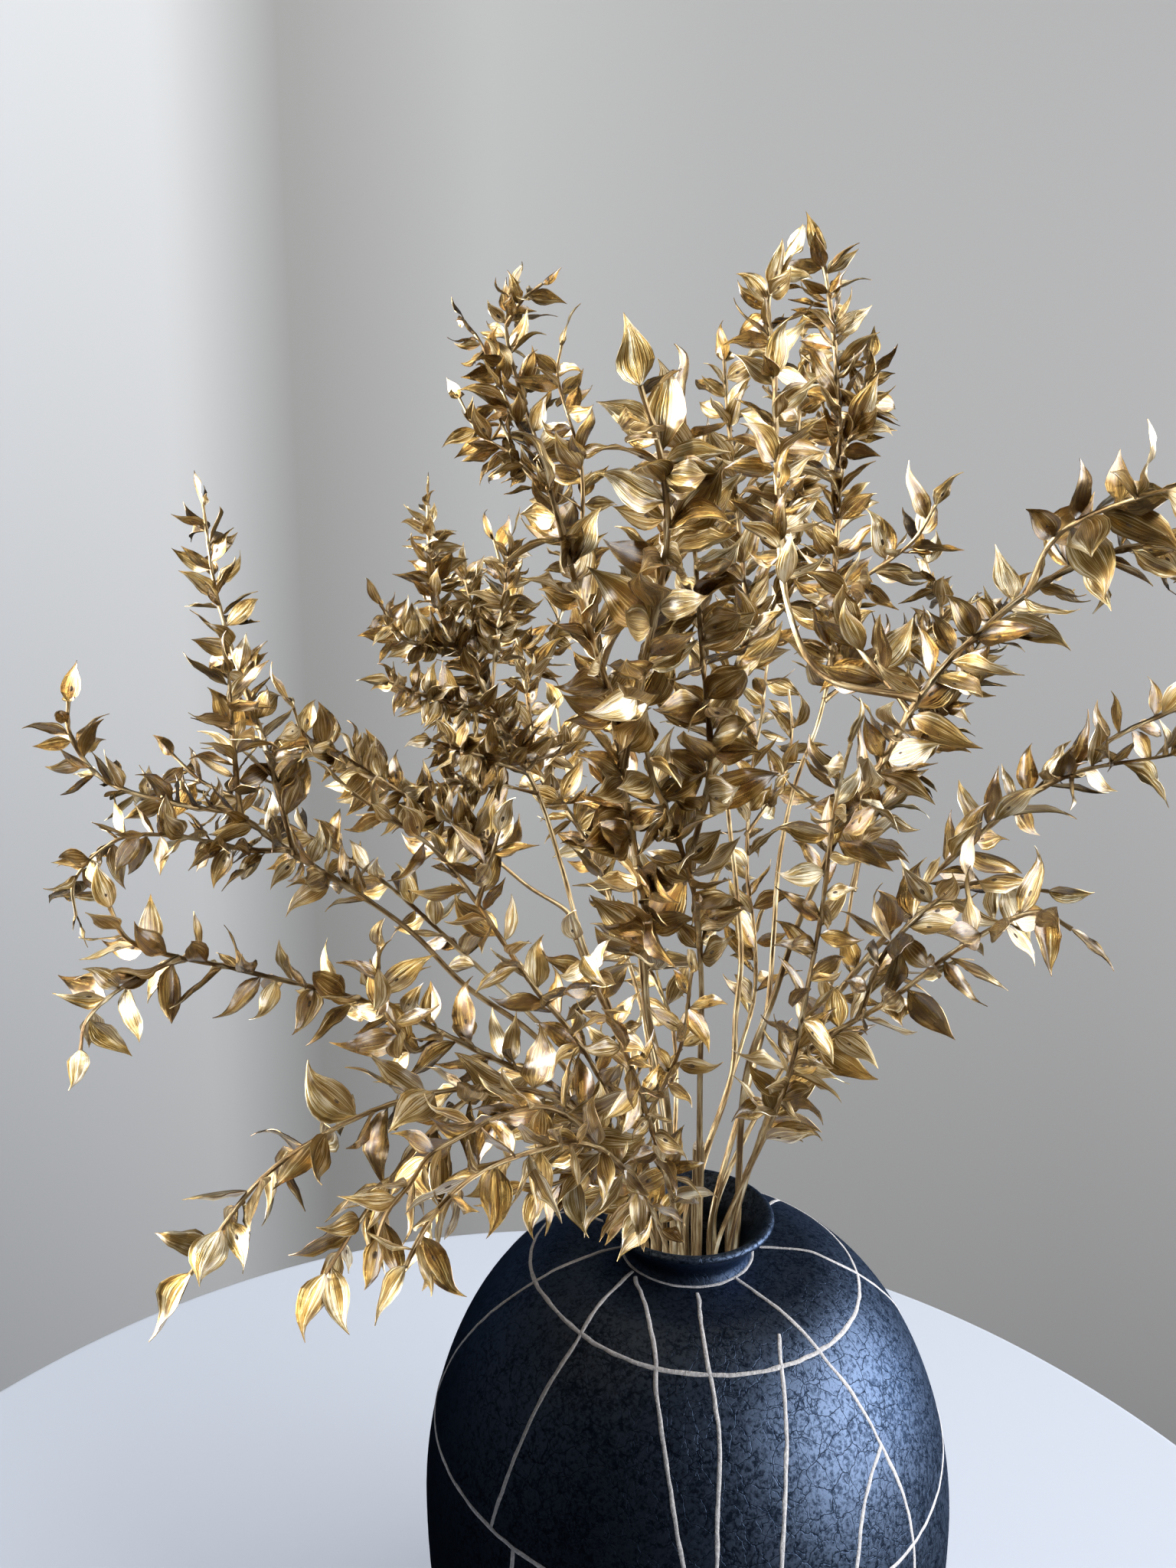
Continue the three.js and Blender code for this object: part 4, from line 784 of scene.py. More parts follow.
def tube(shell, line, radii, tone, sides, ridge, turn, cut, cut_finish):
    """A ridged stem along a line; cut is the normal of its end face, or None for a square end."""
    axes = rows_unit(np.gradient(line, axis=0))
    sideways = []
    for axis in axes:
        last = sideways[-1] if sideways else square_to(axes[0])[0]
        sideways.append(unit(last - axis * dot(last, axis)))
    side = np.array(sideways)
    up = np.cross(axes, side)
    angle = 2 * np.pi * np.arange(sides) / sides
    marks = marks_along(line)
    swell = 1 + ridge * np.cos(BARK_RIDGES * angle[None] + turn + marks[:, None] * RIDGE_TWIST)
    reach = radii[:, None] * swell
    rings = line[:, None] + reach[..., None] * (
        np.cos(angle)[None, :, None] * side[:, None] + np.sin(angle)[None, :, None] * up[:, None])
    if cut is not None:
        normal = unit(np.array(cut, float))
        rings[-1] += axes[-1] * ((line[-1] - rings[-1]) @ normal / (axes[-1] @ normal))[:, None]
    shift = tone * GRAIN_SHIFT
    grain_across = np.cos(angle)[None] * reach / GRAIN_SCALE[0] + shift
    grain_along = marks / GRAIN_SCALE[1]
    grain = np.stack(np.broadcast_arrays(grain_across, grain_along[:, None], tone), -1)
    points = np.concatenate([rings.reshape(-1, 3), line[:1], line[-1:]])
    ends = [[shift, 0, tone], [shift, grain_along[-1], tone]]
    foot, top = end_fans(len(line), sides)
    shell.add(points, np.concatenate([grain.reshape(-1, 3), ends]), (loop_faces(len(line), sides), BARK),
              (foot, BARK), (top, cut_finish))


def resampled(line, step):
    """The same line with points no farther apart than a step."""
    line = np.array(line)
    marks = marks_along(line)
    places = np.linspace(0, marks[-1], max(2, math.ceil(marks[-1] / step) + 1))
    return at_places(places, marks, line), places


def nearest_point(line, point):
    return int(np.argmin(np.linalg.norm(line - point, axis=1)))


def bark(shell, strand, is_shoot, rng):
    """The stem of one strand, tapering and swelling at its leaves, which are then seated on it."""
    line, places = resampled(strand["fine"], FINE_STEP)
    share = places / places[-1]
    radii = np.maximum(LEAST_GIRTH, strand["girth"] * (1 - (1 - TIP_GIRTH) * share ** TAPER))
    if is_shoot:
        radii *= 1 + SHOOT_FLARE * np.exp(-places / FLARE_LENGTH)
    for leaf in strand["leaves"]:
        at = places[nearest_point(line, leaf["centre"])]
        radii *= 1 + NODE_SWELL * np.exp(-((places - at) / NODE_LENGTH) ** 2)
    cut = line[-1] - line[-2] + np.array(CUT_LEAN) if strand["cut"] else None
    tube(shell, line, radii, rng.random(), BARK_SIDES, RIDGE_DEPTH, rng.random() * RIDGE_START, cut,
         CUT_FACE if strand["cut"] else BARK)
    for leaf in strand["leaves"]:
        k = nearest_point(line, leaf["centre"])
        if leaf["terminal"]:
            leaf["base"] = line[-1] - leaf["along"] * TIP_SEAT
        else:
            leaf["base"] = line[k] + leaf["outward"] * (radii[k] * SIDE_SEAT)


def smooth_noise(rng, count, knots, stations):
    """Rows of random values from -1 to 1 that change smoothly along stations from 0 to 1."""
    values = rng.uniform(-1, 1, (count, knots))
    places = np.array(stations) * (knots - 1)
    low = np.minimum(places.astype(int), knots - 2)
    share = places - low
    share = share * share * (3 - 2 * share)
    return values[:, low] * (1 - share) + values[:, low + 1] * share


def blade_faces():
    """The quads of one closed blade: its upper and its under side and the four strips between them."""
    rows, cols = len(STATIONS), COLUMNS
    low = rows * cols
    i, j = np.meshgrid(np.arange(rows - 1), np.arange(cols - 1), indexing="ij")
    a = (i * cols + j).ravel()
    over = np.stack([a, a + 1, a + 1 + cols, a + cols], 1)
    under = over[:, ::-1] + low
    i, j = np.arange(rows - 1) * cols, np.arange(cols - 1)
    left = np.stack([i, i + cols, i + cols + low, i + low], 1)
    k = i + cols - 1
    right = np.stack([k, k + low, k + low + cols, k + cols], 1)
    back = np.stack([j, j + low, j + 1 + low, j + 1], 1)
    k = j + (rows - 1) * cols
    front = np.stack([k, k + 1, k + 1 + low, k + low], 1)
    return np.concatenate([over, under, left, right, back, front])


def blades(shell, leaves, rng):
    """All the leaves of one stem: thin closed blades, folded, bent and twisted."""
    n = len(leaves)

    def pick(low, high):
        return rng.uniform(low, high, n)[:, None, None]

    def column(key):
        return np.array([leaf[key] for leaf in leaves])

    root = column("base")
    tip = column("root") + column("along") * column("length")[:, None]
    length = np.linalg.norm(tip - root, axis=1)[:, None, None]
    along = (tip - root) / length[:, 0]
    face = rows_unit(column("face") - along * (column("face") * along).sum(1, keepdims=True))
    side = np.cross(along, face)
    tone = rng.random(n)

    s = np.array(STATIONS)[None, :, None]
    v = np.linspace(-1, 1, COLUMNS)[None, None, :]
    nib = rng.uniform(*NIB_RANGE, (n, 1))
    width = np.array(WIDTHS)[None] * (1 + UNEVEN_WIDTH * smooth_noise(rng, n, WIDTH_KNOTS, STATIONS))
    width = width + nib * np.sin(np.pi * np.array(STATIONS))[None] * NIB_WIDTH
    reach = (width * (column("half") * FULLER)[:, None])[..., None]
    # Across the blade: its fold and cup, and fine pleats beside the midrib.
    x = v * reach
    fold = (column("lift") * KEPT_LIFT)[:, None, None] + pick(*FOLD_RANGE)
    z = fold * np.sqrt(x * x + FOLD_ROUNDING) + pick(*CUP_RANGE) * reach * v * v
    z = z - PLEAT_DEPTH * np.cos(PLEATS * np.pi * v) * (reach > PLEATED_FROM)
    # Along it: waves at both rims and a slight crumple.
    wave = pick(*WAVE_RANGE) * reach * v * v
    waves, phase = pick(*WAVES), pick(0, 1)
    z = z + wave * np.sin(2 * np.pi * (waves * s + phase + WAVE_OFFSET * np.sign(v)))
    z = z + (smooth_noise(rng, n, CRUMPLE_KNOTS, STATIONS)[..., None] * CRUMPLE * length) * np.sin(np.pi * s)
    # A twist about the midrib, then a hooked tip.
    twist = pick(-1, 1) * TWIST_SPREAD * (s - TWIST_AT)
    x, z = x * np.cos(twist) - z * np.sin(twist), x * np.sin(twist) + z * np.cos(twist)
    hook = np.clip((s - HOOK_FROM) / (1 - HOOK_FROM), 0, 1) ** 2 * length
    x = x + hook * (pick(-1, 1) * HOOK_SPREAD)
    z = z + hook * (pick(-1, 1) * HOOK_SPREAD)
    # The bend of the whole blade between its base and its tip.
    arc = pick(*ARC_RANGE)
    arc = np.where(np.abs(arc) < LEAST_ARC, LEAST_ARC, arc)
    bend = arc * (s - 0.5)
    radius = length / (2 * np.sin(arc / 2))
    y = length / 2 + (radius - z) * np.sin(bend)
    z = radius * (np.cos(arc / 2) - np.cos(bend)) + z * np.cos(bend)

    top = root[:, None, None]
    for part, direction in ((x, side), (y, along), (z, face)):
        top = top + part[..., None] * direction[:, None, None]
    normal = rows_unit(np.cross(np.gradient(top, axis=2), np.gradient(top, axis=1)))
    thick = BLADE_THICKNESS * (1 - EDGE_THIN * v ** 2) * np.ones_like(s)
    points = np.stack([top, top - normal * thick[..., None]], 1)
    grain = np.stack(np.broadcast_arrays(v, s, tone[:, None, None]), -1)
    first = np.arange(n) * (2 * len(STATIONS) * COLUMNS)
    faces = (blade_faces()[None] + first[:, None, None]).reshape(-1, 4)
    shell.add(points.reshape(-1, 3), np.stack([grain, grain], 1).reshape(-1, 3), (faces, LEAF))
    knots(shell, top, normal, along, rng)


def knots(shell, top, normal, along, rng):
    """Small dark buds on some of the leaves, on the midrib."""
    angle = 2 * np.pi * np.arange(KNOT_SIDES) / KNOT_SIDES
    ring = [(math.cos(a) * r, math.sin(a) * r, h) for h, r in KNOT_RINGS for a in angle]
    unit_bud = np.array([*ring, *((0, 0, h) for h in KNOT_ENDS)])
    faces = loop_faces(len(KNOT_RINGS), KNOT_SIDES)
    caps = np.concatenate(end_fans(len(KNOT_RINGS), KNOT_SIDES))
    at = min(range(len(STATIONS)), key=lambda k: abs(STATIONS[k] - KNOT_AT))
    for leaf in np.nonzero(rng.random(len(top)) < KNOT_SHARE)[0]:
        scale = np.array(KNOT_SIZE) * rng.uniform(*KNOT_SCALE_RANGE)
        centre = top[leaf, at, COLUMNS // 2]
        up = normal[leaf, at, COLUMNS // 2]
        forward = unit(along[leaf] - up * dot(along[leaf], up))
        across = cross(forward, up)
        bud = unit_bud * scale
        points = centre + bud[:, :1] * across + bud[:, 1:2] * forward + bud[:, 2:] * up
        shell.add(points, np.zeros_like(points), (faces, BUD), (caps, BUD))


def make_stems(stems, materials):
    """One piece for each stem with its shoots and leaves."""
    rng = np.random.default_rng(LOOK_SEED)
    made = []
    for stem in stems:
        shell = Shell()
        for number, strand in enumerate(stem["strands"]):
            bark(shell, strand, number > 0, rng)
        blades(shell, [leaf for strand in stem["strands"] for leaf in strand["leaves"]], rng)
        piece = shell.build(f"ruscus_{stem['name']}", materials)
        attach(piece, "root")
        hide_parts(f"stem_{stem['name']}")
        made.append(piece)
    return made


def body_outline(inset, bottom, steps):
    """Radius and height of the body from the bottom to the level shoulder, drawn in for the inside."""
    full, foot = BODY_RADIUS - inset, FOOT_RADIUS - inset
    top = SHOULDER_HEIGHT - inset
    outline = []
    for i in range(steps[0] + 1):
        turn = i / steps[0] * math.pi / 2
        outline.append((foot + (full - foot) * math.sin(turn) ** (2 / LOWER_FULLNESS),
                        WIDEST_HEIGHT - (WIDEST_HEIGHT - bottom) * math.cos(turn) ** (2 / LOWER_FULLNESS)))
    for i in range(steps[1] - 1, -1, -1):
        share = math.sin(i / steps[1] * math.pi / 2) ** (2 / UPPER_FULLNESS)
        rise = (1 - share ** UPPER_FULLNESS) ** (1 / UPPER_FULLNESS)
        outline.append((SHOULDER_FLAT_RADIUS + (full - SHOULDER_FLAT_RADIUS) * share,
                        WIDEST_HEIGHT + (top - WIDEST_HEIGHT) * rise))
    return outline


def on_shoulder(radii):
    """Points of the nearly level shoulder, which rises to the neck."""
    slope = SHOULDER_RISE / SHOULDER_RUN
    return [(radius, SHOULDER_HEIGHT + slope * (SHOULDER_FLAT_RADIUS - radius)) for radius in radii]


def rounded(points, steps):
    """Catmull-Rom curve through pairs of numbers."""
    points = np.array(points, float)
    ends = [2 * points[0] - points[1], *points, 2 * points[-1] - points[-2]]
    out = []
    for p0, p1, p2, p3 in zip(ends, ends[1:], ends[2:], ends[3:]):
        for t in np.arange(steps) / steps:
            out.append(0.5 * (2 * p1 + (p2 - p0) * t + (2 * p0 - 5 * p1 + 4 * p2 - p3) * t ** 2
                              + (3 * p1 - p0 - 3 * p2 + p3) * t ** 3))
    return [*out, points[-1]]


def make_vase(materials):
    """The hollow vase as a solid of revolution."""
    outside = [*body_outline(0, 0, BODY_STEPS), *on_shoulder(SHOULDER_RADII)]
    inside = body_outline(WALL, FLOOR_HEIGHT, INSIDE_STEPS)[::-1]
    profile = np.array([*outside, *rounded(NECK_PROFILE, NECK_STEPS), *inside])
    turn = 2 * np.pi * np.arange(TURNS) / TURNS
    rings = np.stack([profile[:, :1] * np.cos(turn), profile[:, :1] * np.sin(turn),
                      np.broadcast_to(profile[:, 1:], (len(profile), TURNS))], -1)
    points = np.concatenate([rings.reshape(-1, 3), [[0, 0, 0], [0, 0, FLOOR_HEIGHT]]])
    shell = Shell()
    shell.add(points, np.zeros_like(points), (loop_faces(len(profile), TURNS), 0),
              (np.concatenate(end_fans(len(profile), TURNS)), 0))
    piece = shell.build("vase_body", materials, VASE_SHARP)
    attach(piece, "root")
    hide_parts("vase")
    return piece


def drawn(points, closed, path, marks, outward):
    """A drawn line's points on the glaze, evenly spaced, with the way out at each."""
    points = np.array(points, float)
    if closed:
        points = np.concatenate([points[-2:] - [360, 0], points, points[:3] + [360, 0]])
    degrees, down = np.array(rounded(points, CURVE_POINTS)).T
    if closed:
        turn_once = slice(2 * CURVE_POINTS, (len(points) - 3) * CURVE_POINTS + 1)
        degrees, down = degrees[turn_once], down[turn_once]
    turn = np.radians(degrees)

    def about_axis(rows):
        radius, height = at_places(down, marks, rows).T
        return np.stack([radius * np.cos(turn), radius * np.sin(turn), height], 1)

    line = about_axis(path)
    along = marks_along(line)
    places = np.linspace(0, along[-1], math.ceil(along[-1] / LINE_STEP) + 1)
    normal = rows_unit(at_places(places, along, about_axis(outward)))
    return at_places(places, along, line), normal, places


def bead_rings(line, normal, places, closed, rng):
    """A line's bead as rings of points that repeat its section, slightly uneven in width and course."""
    round_height = LINE_ROUND * LINE_PROUD
    section = np.array([(-1, -LINE_SUNK), (1, -LINE_SUNK), (1, LINE_EDGE), (LINE_ROUND, round_height),
                        (0, LINE_PROUD), (-LINE_ROUND, round_height), (-1, LINE_EDGE)])
    n = len(line)
    forward = rows_unit(np.gradient(line, axis=0))
    if closed:
        forward[0] = forward[-1] = unit(forward[0] + forward[-1])
    across = rows_unit(np.cross(forward, normal))
    swings = max(LEAST_SWINGS, n // SWING_POINTS)
    stations = np.linspace(0, 1, n) * SWING_SPAN
    wobble = [smooth_noise(rng, 1, swings, stations)[0] for _ in range(2)]
    from_end = np.minimum(places, places[-1] - places)
    if closed:
        wobble = [part * np.clip(from_end / LINE_JOIN, 0, 1) for part in wobble]
    half = LINE_HALF_WIDTH * (1 + UNEVEN_LINE * wobble[0])
    if not closed:
        half = half * np.clip(from_end / LINE_END + LINE_END_WIDTH, 0, 1)
    centre = line + across * (wobble[1] * LINE_WOBBLE)[:, None]
    rings = (centre[:, None] + across[:, None] * (section[:, 0] * half[:, None])[..., None]
             + normal[:, None] * section[None, :, 1:])
    return rings[:n - closed, ::-1]


def bead_faces(rings, sides, closed):
    """A bead's faces: round to its first ring where it is closed, or else with a flat cap at each end."""
    if closed:
        return [loop_faces(rings + 1, sides) % (rings * sides)]
    k = np.arange(1, sides - 1)
    cap = np.stack([np.zeros_like(k), k, k + 1], 1)
    return [loop_faces(rings, sides), cap[:, ::-1], cap + (rings - 1) * sides]


def make_lines(materials):
    """The pale lines over the glaze: low rounded beads of thick paint."""
    rng = np.random.default_rng(LOOK_SEED + 1)
    path = np.array([*on_shoulder(LINE_SHOULDER_RADII), *body_outline(0, 0, LINE_BODY_STEPS)[::-1]])
    tangent = rows_unit(np.gradient(path, axis=0))
    way = path, marks_along(path), np.stack([-tangent[:, 1], tangent[:, 0]], 1)
    shell = Shell()
    for points, closed in [*((ring, True) for ring in RINGS), *((stroke, False) for stroke in STROKES)]:
        rings = bead_rings(*drawn(points, closed, *way), closed, rng)
        corners = rings.reshape(-1, 3)
        groups = bead_faces(*rings.shape[:2], closed)
        shell.add(corners, np.zeros_like(corners), *((faces, 0) for faces in groups))
    piece = shell.build("vase_lines", materials, LINES_SHARP)
    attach(piece, "root")
    return piece


def make_stub(materials):
    """The stem that was cut off at a slant just above the neck."""
    rng = np.random.default_rng(LOOK_SEED + 2)
    rise = [slot_point(STUB_SLOT, height) for height in (FOOT_HEIGHT, SLOT_HEIGHTS[1])]
    line = resampled([*rise, STUB_TOP], STUB_STEP)[0]
    shell = Shell()
    radii = np.full(len(line), STUB_RADIUS)
    tube(shell, line, radii, rng.random(), STUB_SIDES, STUB_RIDGE_DEPTH, 0, STUB_CUT, CUT_FACE)
    piece = shell.build("cut_stub", materials)
    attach(piece, "root")
    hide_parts("stem_cut_short")
    return piece


class Nodes:
    """Short calls for making the nodes of a material or of the world."""

    def __init__(self, owner):
        owner.use_nodes = True
        self.owner, self.tree = owner, owner.node_tree

    def add(self, kind, settings=None, **inputs):
        """A node with its settings; an input is a value, or another node's output."""
        node = self.tree.nodes.new("ShaderNode" + kind)
        for key, value in (settings or {}).items():
            setattr(node, key, value)
        for key, value in inputs.items():
            self.link(node, key, value)
        return node

    def link(self, node, key, value):
        """Sets one input, named or numbered, to a value or to another node's output."""
        socket = node.inputs[key.replace("_", " ") if isinstance(key, str) else key]
        if isinstance(value, bpy.types.NodeSocket):
            self.tree.links.new(value, socket)
        elif socket.type == "RGBA" and len(value) == 3:
            socket.default_value = (*value, 1)
        else:
            socket.default_value = value

    def at(self, coordinate):
        """A texture coordinate: Object is in metres, Generated goes from 0 to 1 over a piece."""
        return self.add("TexCoord").outputs[coordinate]

    def parts(self, vector):
        return list(self.add("SeparateXYZ", Vector=vector).outputs)

    def math(self, operation, *values, kind="Math", result=0):
        node = self.add(kind, {"operation": operation})
        for k, value in enumerate(values):
            self.link(node, k, value)
        return node.outputs[result]

    def total(self, *weighted):
        """The sum of values, each with its weight."""
        total, *rest = [self.math("MULTIPLY", value, weight) for value, weight in weighted]
        for part in rest:
            total = self.math("ADD", total, part)
        return total

    def noise(self, vector, scale, detail=2.0, roughness=0.5, distortion=0.0):
        node = self.add("TexNoise", Vector=vector, Scale=scale, Detail=detail, Roughness=roughness,
                        Distortion=distortion)
        return node.outputs["Fac"]

    def grain_noise(self, place, wide, long, detail, roughness):
        """Noise stretched along the grain; place is the grain across and along, and the piece's own shift."""
        across, along, shift = place
        stretched = self.add("CombineXYZ", X=self.math("MULTIPLY", across, wide),
                             Y=self.math("MULTIPLY", along, long), Z=shift)
        return self.noise(stretched.outputs[0], 1.0, detail, roughness)

    def ramp(self, value, stops):
        """Colours, or greys for single numbers, along a value."""
        node = self.add("ValToRGB", Fac=value)
        elements = node.color_ramp.elements
        while len(elements) < len(stops):
            elements.new(0.5)
        for element, (place, colour) in zip(elements, stops):
            element.position = place
            element.color = (*(colour if isinstance(colour, tuple) else [colour] * 3), 1)
        return node.outputs["Color"]

    def mix(self, factor, a, b, blend="MIX"):
        node = self.add("Mix", {"data_type": "RGBA", "blend_type": blend})
        for key, value in zip(MIX_INPUTS, (factor, a, b)):
            self.link(node, key, value)
        return node.outputs[MIX_RESULT]

    def cracks(self, vector, scale, width, depth):
        """Dark lines of a width along the borders of cells, and 1 between them."""
        cells = self.add("TexVoronoi", {"feature": "DISTANCE_TO_EDGE"}, Vector=vector, Scale=scale)
        return self.ramp(cells.outputs[0], [(0.0, depth), (width, 1.0)])

    def finish(self, height=None, depth=0.0, **inputs):
        """The material, with its bumps where a height is given."""
        if height is not None:
            inputs["Normal"] = self.add("Bump", Height=height, Distance=depth, Strength=1.0).outputs[0]
        for key, value in inputs.items():
            self.link(self.tree.nodes["Principled BSDF"], key, value)
        return self.owner


def new_finish(name):
    return Nodes(bpy.data.materials.new(name))


def grain_of(nodes):
    """The grain coordinate's three parts: across, along and the piece's own tone."""
    return nodes.parts(nodes.add("Attribute", {"attribute_name": "grain"}).outputs["Vector"])


def leaf_gold():
    """Gold paint over the lengthwise veins of a dried leaf."""
    nodes = new_finish("leaf_gold")
    across, along, tone = grain_of(nodes)
    place = across, along, nodes.math("MULTIPLY", tone, 57.0)
    vein = nodes.grain_noise(place, 5.5, 0.5, 1.0, 0.5)
    fine = nodes.grain_noise(place, 20.0, 1.2, 2.0, 0.6)
    blotch = nodes.grain_noise(place, 1.1, 2.2, 2.0, 0.5)
    shade = nodes.total((vein, 0.4), (fine, 0.65), (blotch, 0.4), (tone, 0.16))
    colour = nodes.ramp(shade, [(0.64, (0.12, 0.05, 0.007)), (0.8, (0.295, 0.172, 0.036)),
                                (0.9, (0.6, 0.44, 0.18)), (0.98, (0.97, 0.88, 0.66))])
    darker_root = nodes.ramp(along, [(0.0, 0.5), (0.09, 1.0)])
    rough = nodes.math("MULTIPLY_ADD", blotch, 0.25, nodes.math("MULTIPLY_ADD", tone, 0.12, 0.13))
    return nodes.finish(nodes.total((vein, 0.5), (fine, 0.6)), 0.0006,
                        Base_Color=nodes.mix(1.0, colour, darker_root, "MULTIPLY"), Metallic=0.92,
                        Roughness=rough, Coat_Weight=1.0, Coat_Roughness=0.24, Coat_IOR=1.6)


def bark_gold():
    """Gold paint over a ridged dry stem, worn brown in streaks."""
    nodes = new_finish("bark_gold")
    across, along, tone = grain_of(nodes)
    place = across, along, nodes.math("MULTIPLY", tone, 31.0)
    streak = nodes.grain_noise(place, 5.0, 0.5, 4.0, 0.6)
    colour = nodes.ramp(streak, [(0.38, (0.1, 0.055, 0.022)), (0.49, (0.26, 0.17, 0.075)),
                                 (0.6, (0.46, 0.36, 0.2)), (0.76, (0.86, 0.79, 0.61))])
    rough = nodes.math("MULTIPLY_ADD", streak, 0.25, 0.28)
    return nodes.finish(streak, 0.0008, Base_Color=colour, Metallic=0.85, Roughness=rough)


def bud_brown():
    """The dark dry buds on the leaves."""
    nodes = new_finish("bud_brown")
    spot = nodes.noise(nodes.at("Object"), 900.0)
    colour = nodes.ramp(spot, [(0.35, (0.03, 0.017, 0.008)), (0.7, (0.16, 0.1, 0.045))])
    return nodes.finish(Base_Color=colour, Metallic=0.35, Roughness=0.55)


def cut_wood():
    """The pale face of a cut stem."""
    nodes = new_finish("cut_wood")
    speck = nodes.noise(nodes.at("Object"), 1400.0, 3.0)
    colour = nodes.ramp(speck, [(0.3, (0.33, 0.24, 0.15)), (0.6, (0.62, 0.53, 0.41))])
    return nodes.finish(speck, 0.0004, Base_Color=colour, Roughness=0.7)


def crackle_glaze():
    """Near-black glaze with a metallic blue bloom in small flecks, and a net of fine cracks. The bloom is
    dimmed in the neck's recess as painted shade.
    """
    nodes = new_finish("crackle_glaze")
    where = nodes.at("Object")
    warp = nodes.add("TexNoise", Vector=where, Scale=240.0, Detail=2.0).outputs["Color"]
    bent = nodes.math("MULTIPLY_ADD", warp, (0.0034, 0.0034, 0.0034), where, kind="VectorMath")
    fine_crack = nodes.cracks(bent, 190.0, 0.042, 0.08)
    wide_crack = nodes.cracks(bent, 115.0, 0.024, 0.0)
    patch = nodes.ramp(nodes.noise(where, 42.0, 2.0, 0.6), [(0.46, 0.0), (0.56, 1.0)])
    crack = nodes.mix(patch, wide_crack, nodes.mix(1.0, fine_crack, wide_crack, "MULTIPLY"))
    mottle = nodes.noise(where, 560.0, 3.0, 0.7, 0.4)
    patchy = nodes.noise(where, 170.0, 3.0, 0.6)
    cloud = nodes.noise(where, 14.0, 3.0, 0.55)
    speck = nodes.total((mottle, 0.62), (patchy, 0.26), (cloud, 0.16))
    # Painted shade: the bloom is dimmed to near-black over the heights of the neck's recess, inside and out,
    # where the lip shades it.
    height = nodes.parts(where)[2]
    painted_neck_shade = nodes.ramp(height, [(0.2342, 1.0), (0.2352, 0.12), (0.2435, 0.12), (0.247, 1.0)])
    bloom = nodes.mix(1.0, nodes.ramp(speck, [(0.44, 0.1), (0.56, 1.0)]), crack, "MULTIPLY")
    bloom = nodes.mix(1.0, bloom, painted_neck_shade, "MULTIPLY")
    return nodes.finish(nodes.total((mottle, 0.16), (crack, 0.16)), 0.0005,
                        Base_Color=nodes.mix(bloom, (0.006, 0.011, 0.022), (0.071, 0.096, 0.147)),
                        Metallic=nodes.math("MULTIPLY_ADD", bloom, 0.25, 0.7),
                        Roughness=nodes.ramp(speck, [(0.4, 0.36), (0.65, 0.5)]),
                        Specular_IOR_Level=0.14, Specular_Tint=(0.45, 0.62, 1.0))


def line_paint():
    """Chalky off-white paint of the drawn lines."""
    nodes = new_finish("line_paint")
    grit = nodes.noise(nodes.at("Object"), 700.0, 3.0, 0.6)
    colour = nodes.ramp(grit, [(0.3, (0.36, 0.35, 0.36)), (0.55, (0.52, 0.5, 0.5)),
                               (0.75, (0.66, 0.64, 0.63))])
    return nodes.finish(grit, 0.0004, Base_Color=colour, Roughness=0.62)


def table_paint():
    """A plain pale finish with a faint unevenness."""
    nodes = new_finish("white_table")
    dull = tuple(TABLE_UNEVENNESS * part for part in TABLE_COLOUR)
    colour = nodes.ramp(nodes.noise(nodes.at("Object"), 2.0), [(0.3, dull), (0.7, TABLE_COLOUR)])
    return nodes.finish(Base_Color=colour, Roughness=0.5)


def wall_paint():
    """A wall with painted light and shade: bright at the left, then a soft band of painted shadow, and slowly
    darker to the right as painted falloff.
    """
    nodes = new_finish("pale_wall")
    # These colours paint the wall's light and shade across its width.
    colour = nodes.ramp(nodes.parts(nodes.at("Generated"))[0], WALL_PAINTED_LIGHT)
    return nodes.finish(Base_Color=colour, Roughness=0.95, Specular_IOR_Level=0.1)


def make_stage():
    """A round pale table top and a plain wall. Neither is mirrored: the photo's glaze shows a dark room."""
    bpy.ops.mesh.primitive_cylinder_add(vertices=TABLE_SIDES, radius=TABLE_RADIUS, depth=TABLE_THICKNESS,
                                        location=(*TABLE_CENTRE, -TABLE_THICKNESS / 2))
    table = bpy.context.object
    table.name = "table_top"
    bevel = table.modifiers.new("edge", "BEVEL")
    bevel.width, bevel.segments = TABLE_ROUNDING
    table.data.materials.append(table_paint())
    bpy.ops.mesh.primitive_plane_add(size=1, location=WALL_CENTRE, rotation=(math.pi / 2, 0, 0))
    wall = bpy.context.object
    wall.name, wall.scale = "wall", (*WALL_SIZE, 1)
    wall.data.materials.append(wall_paint())
    table.visible_glossy = wall.visible_glossy = False
    return [table, wall]


def area_light(name, place, aim, size, power, colour):
    """A soft rectangular light at a place, turned to an aim."""
    lamp = bpy.data.lights.new(name, "AREA")
    lamp.shape, lamp.size, lamp.size_y, lamp.energy, lamp.color = "RECTANGLE", *size, power, colour
    light = bpy.data.objects.new(name, lamp)
    light.location = place
    direction = mathutils.Vector(aim) - mathutils.Vector(place)
    light.rotation_euler = direction.to_track_quat("-Z", "Y").to_euler()
    light.visible_camera = False
    bpy.context.scene.collection.objects.link(light)
    return light


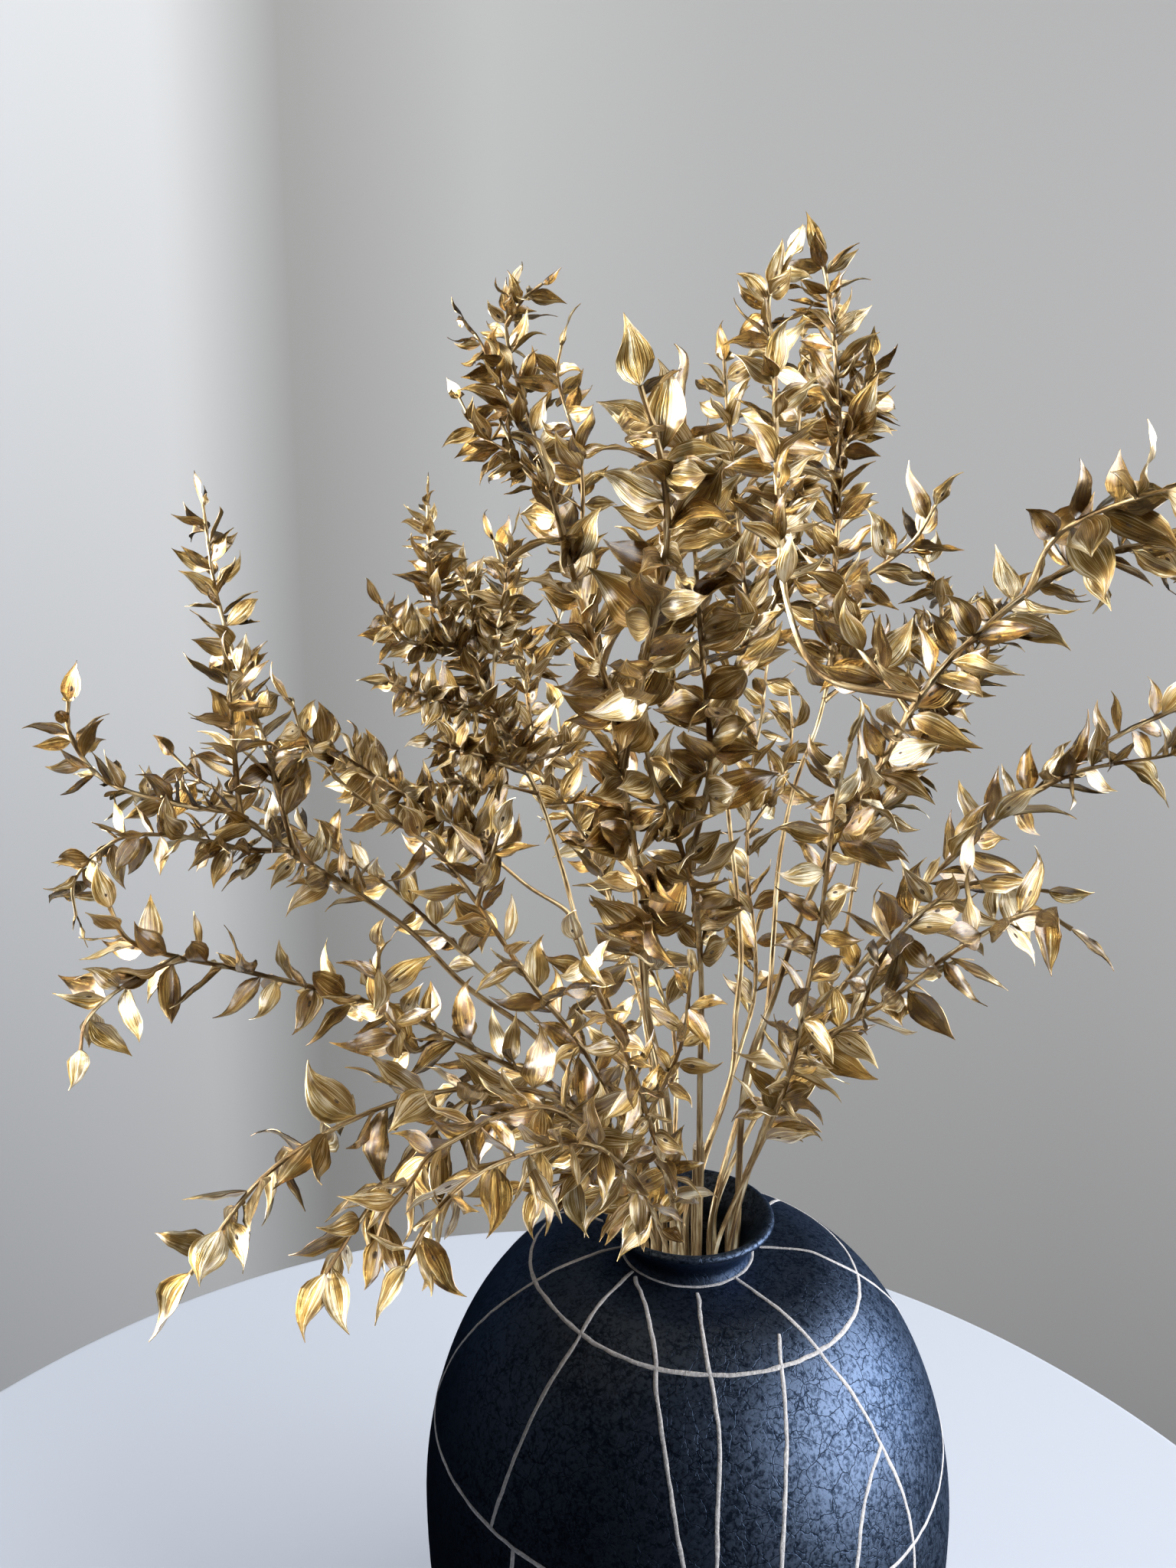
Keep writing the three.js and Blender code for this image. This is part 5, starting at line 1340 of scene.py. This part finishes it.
def light_only(name, pieces, lights):
    """Lights that reach, and are shaded by, the given pieces alone."""
    lit = bpy.data.collections.new(name)
    for piece in pieces:
        lit.objects.link(piece)
    for light in lights:
        linking = area_light(*light).light_linking
        linking.receiver_collection = linking.blocker_collection = lit


def make_light(stems, stage, vase):
    """A broad window at the right front, and panels for the stems and for the stage."""
    shaded = [stem for stem in stems if stem.name in SHADED]
    others = [piece for piece in [*stems, *stage, *vase] if piece not in shaded]
    light_only("lit_by_window", others, WINDOW_LIGHTS)
    light_only("lit_dimly", shaded, SHADED_LIGHTS)
    light_only("lit_stems", stems, STEM_LIGHTS)
    light_only("lit_stage", stage, STAGE_LIGHTS)


def make_room():
    """A dim room all round, by height, that darkens behind the camera."""
    bpy.context.scene.world = bpy.data.worlds.new("room")
    nodes = Nodes(bpy.context.scene.world)
    direction = nodes.at("Generated")
    height = nodes.add("MapRange", Value=nodes.parts(direction)[2], From_Min=-1).outputs[0]
    colours = [((place + 1) / 2, tuple(grey * part for part in ROOM_COLOUR)) for place, grey in ROOM]
    towards = nodes.math("DOT_PRODUCT", direction, DARK_SIDE, kind="VectorMath", result="Value")
    dark = nodes.add("MapRange", {"interpolation_type": "SMOOTHSTEP"}, Value=towards, From_Min=DARK_FROM,
                     From_Max=DARK_AT, To_Min=1, To_Max=DARKEST).outputs[0]
    background = nodes.tree.nodes["Background"]
    nodes.link(background, "Color", nodes.ramp(height, colours))
    nodes.link(background, "Strength", dark)


def make_camera():
    camera = bpy.data.objects.new("camera", bpy.data.cameras.new("camera"))
    camera.location = CAMERA_PLACE
    camera.rotation_euler = (math.radians(CAMERA_TILT), 0, 0)
    camera.data.sensor_width, camera.data.lens = SENSOR_WIDTH, CAMERA_LENS
    bpy.context.scene.collection.objects.link(camera)
    bpy.context.scene.camera = camera


make_camera()
golds = [leaf_gold(), bark_gold(), bud_brown(), cut_wood()]
stems = [*make_stems(grow_stems(), golds), make_stub(golds)]
vase = [make_vase([crackle_glaze()]), make_lines([line_paint()])]
make_light(stems, make_stage(), vase)
make_room()

bpy.context.scene.view_settings.view_transform = "Standard"
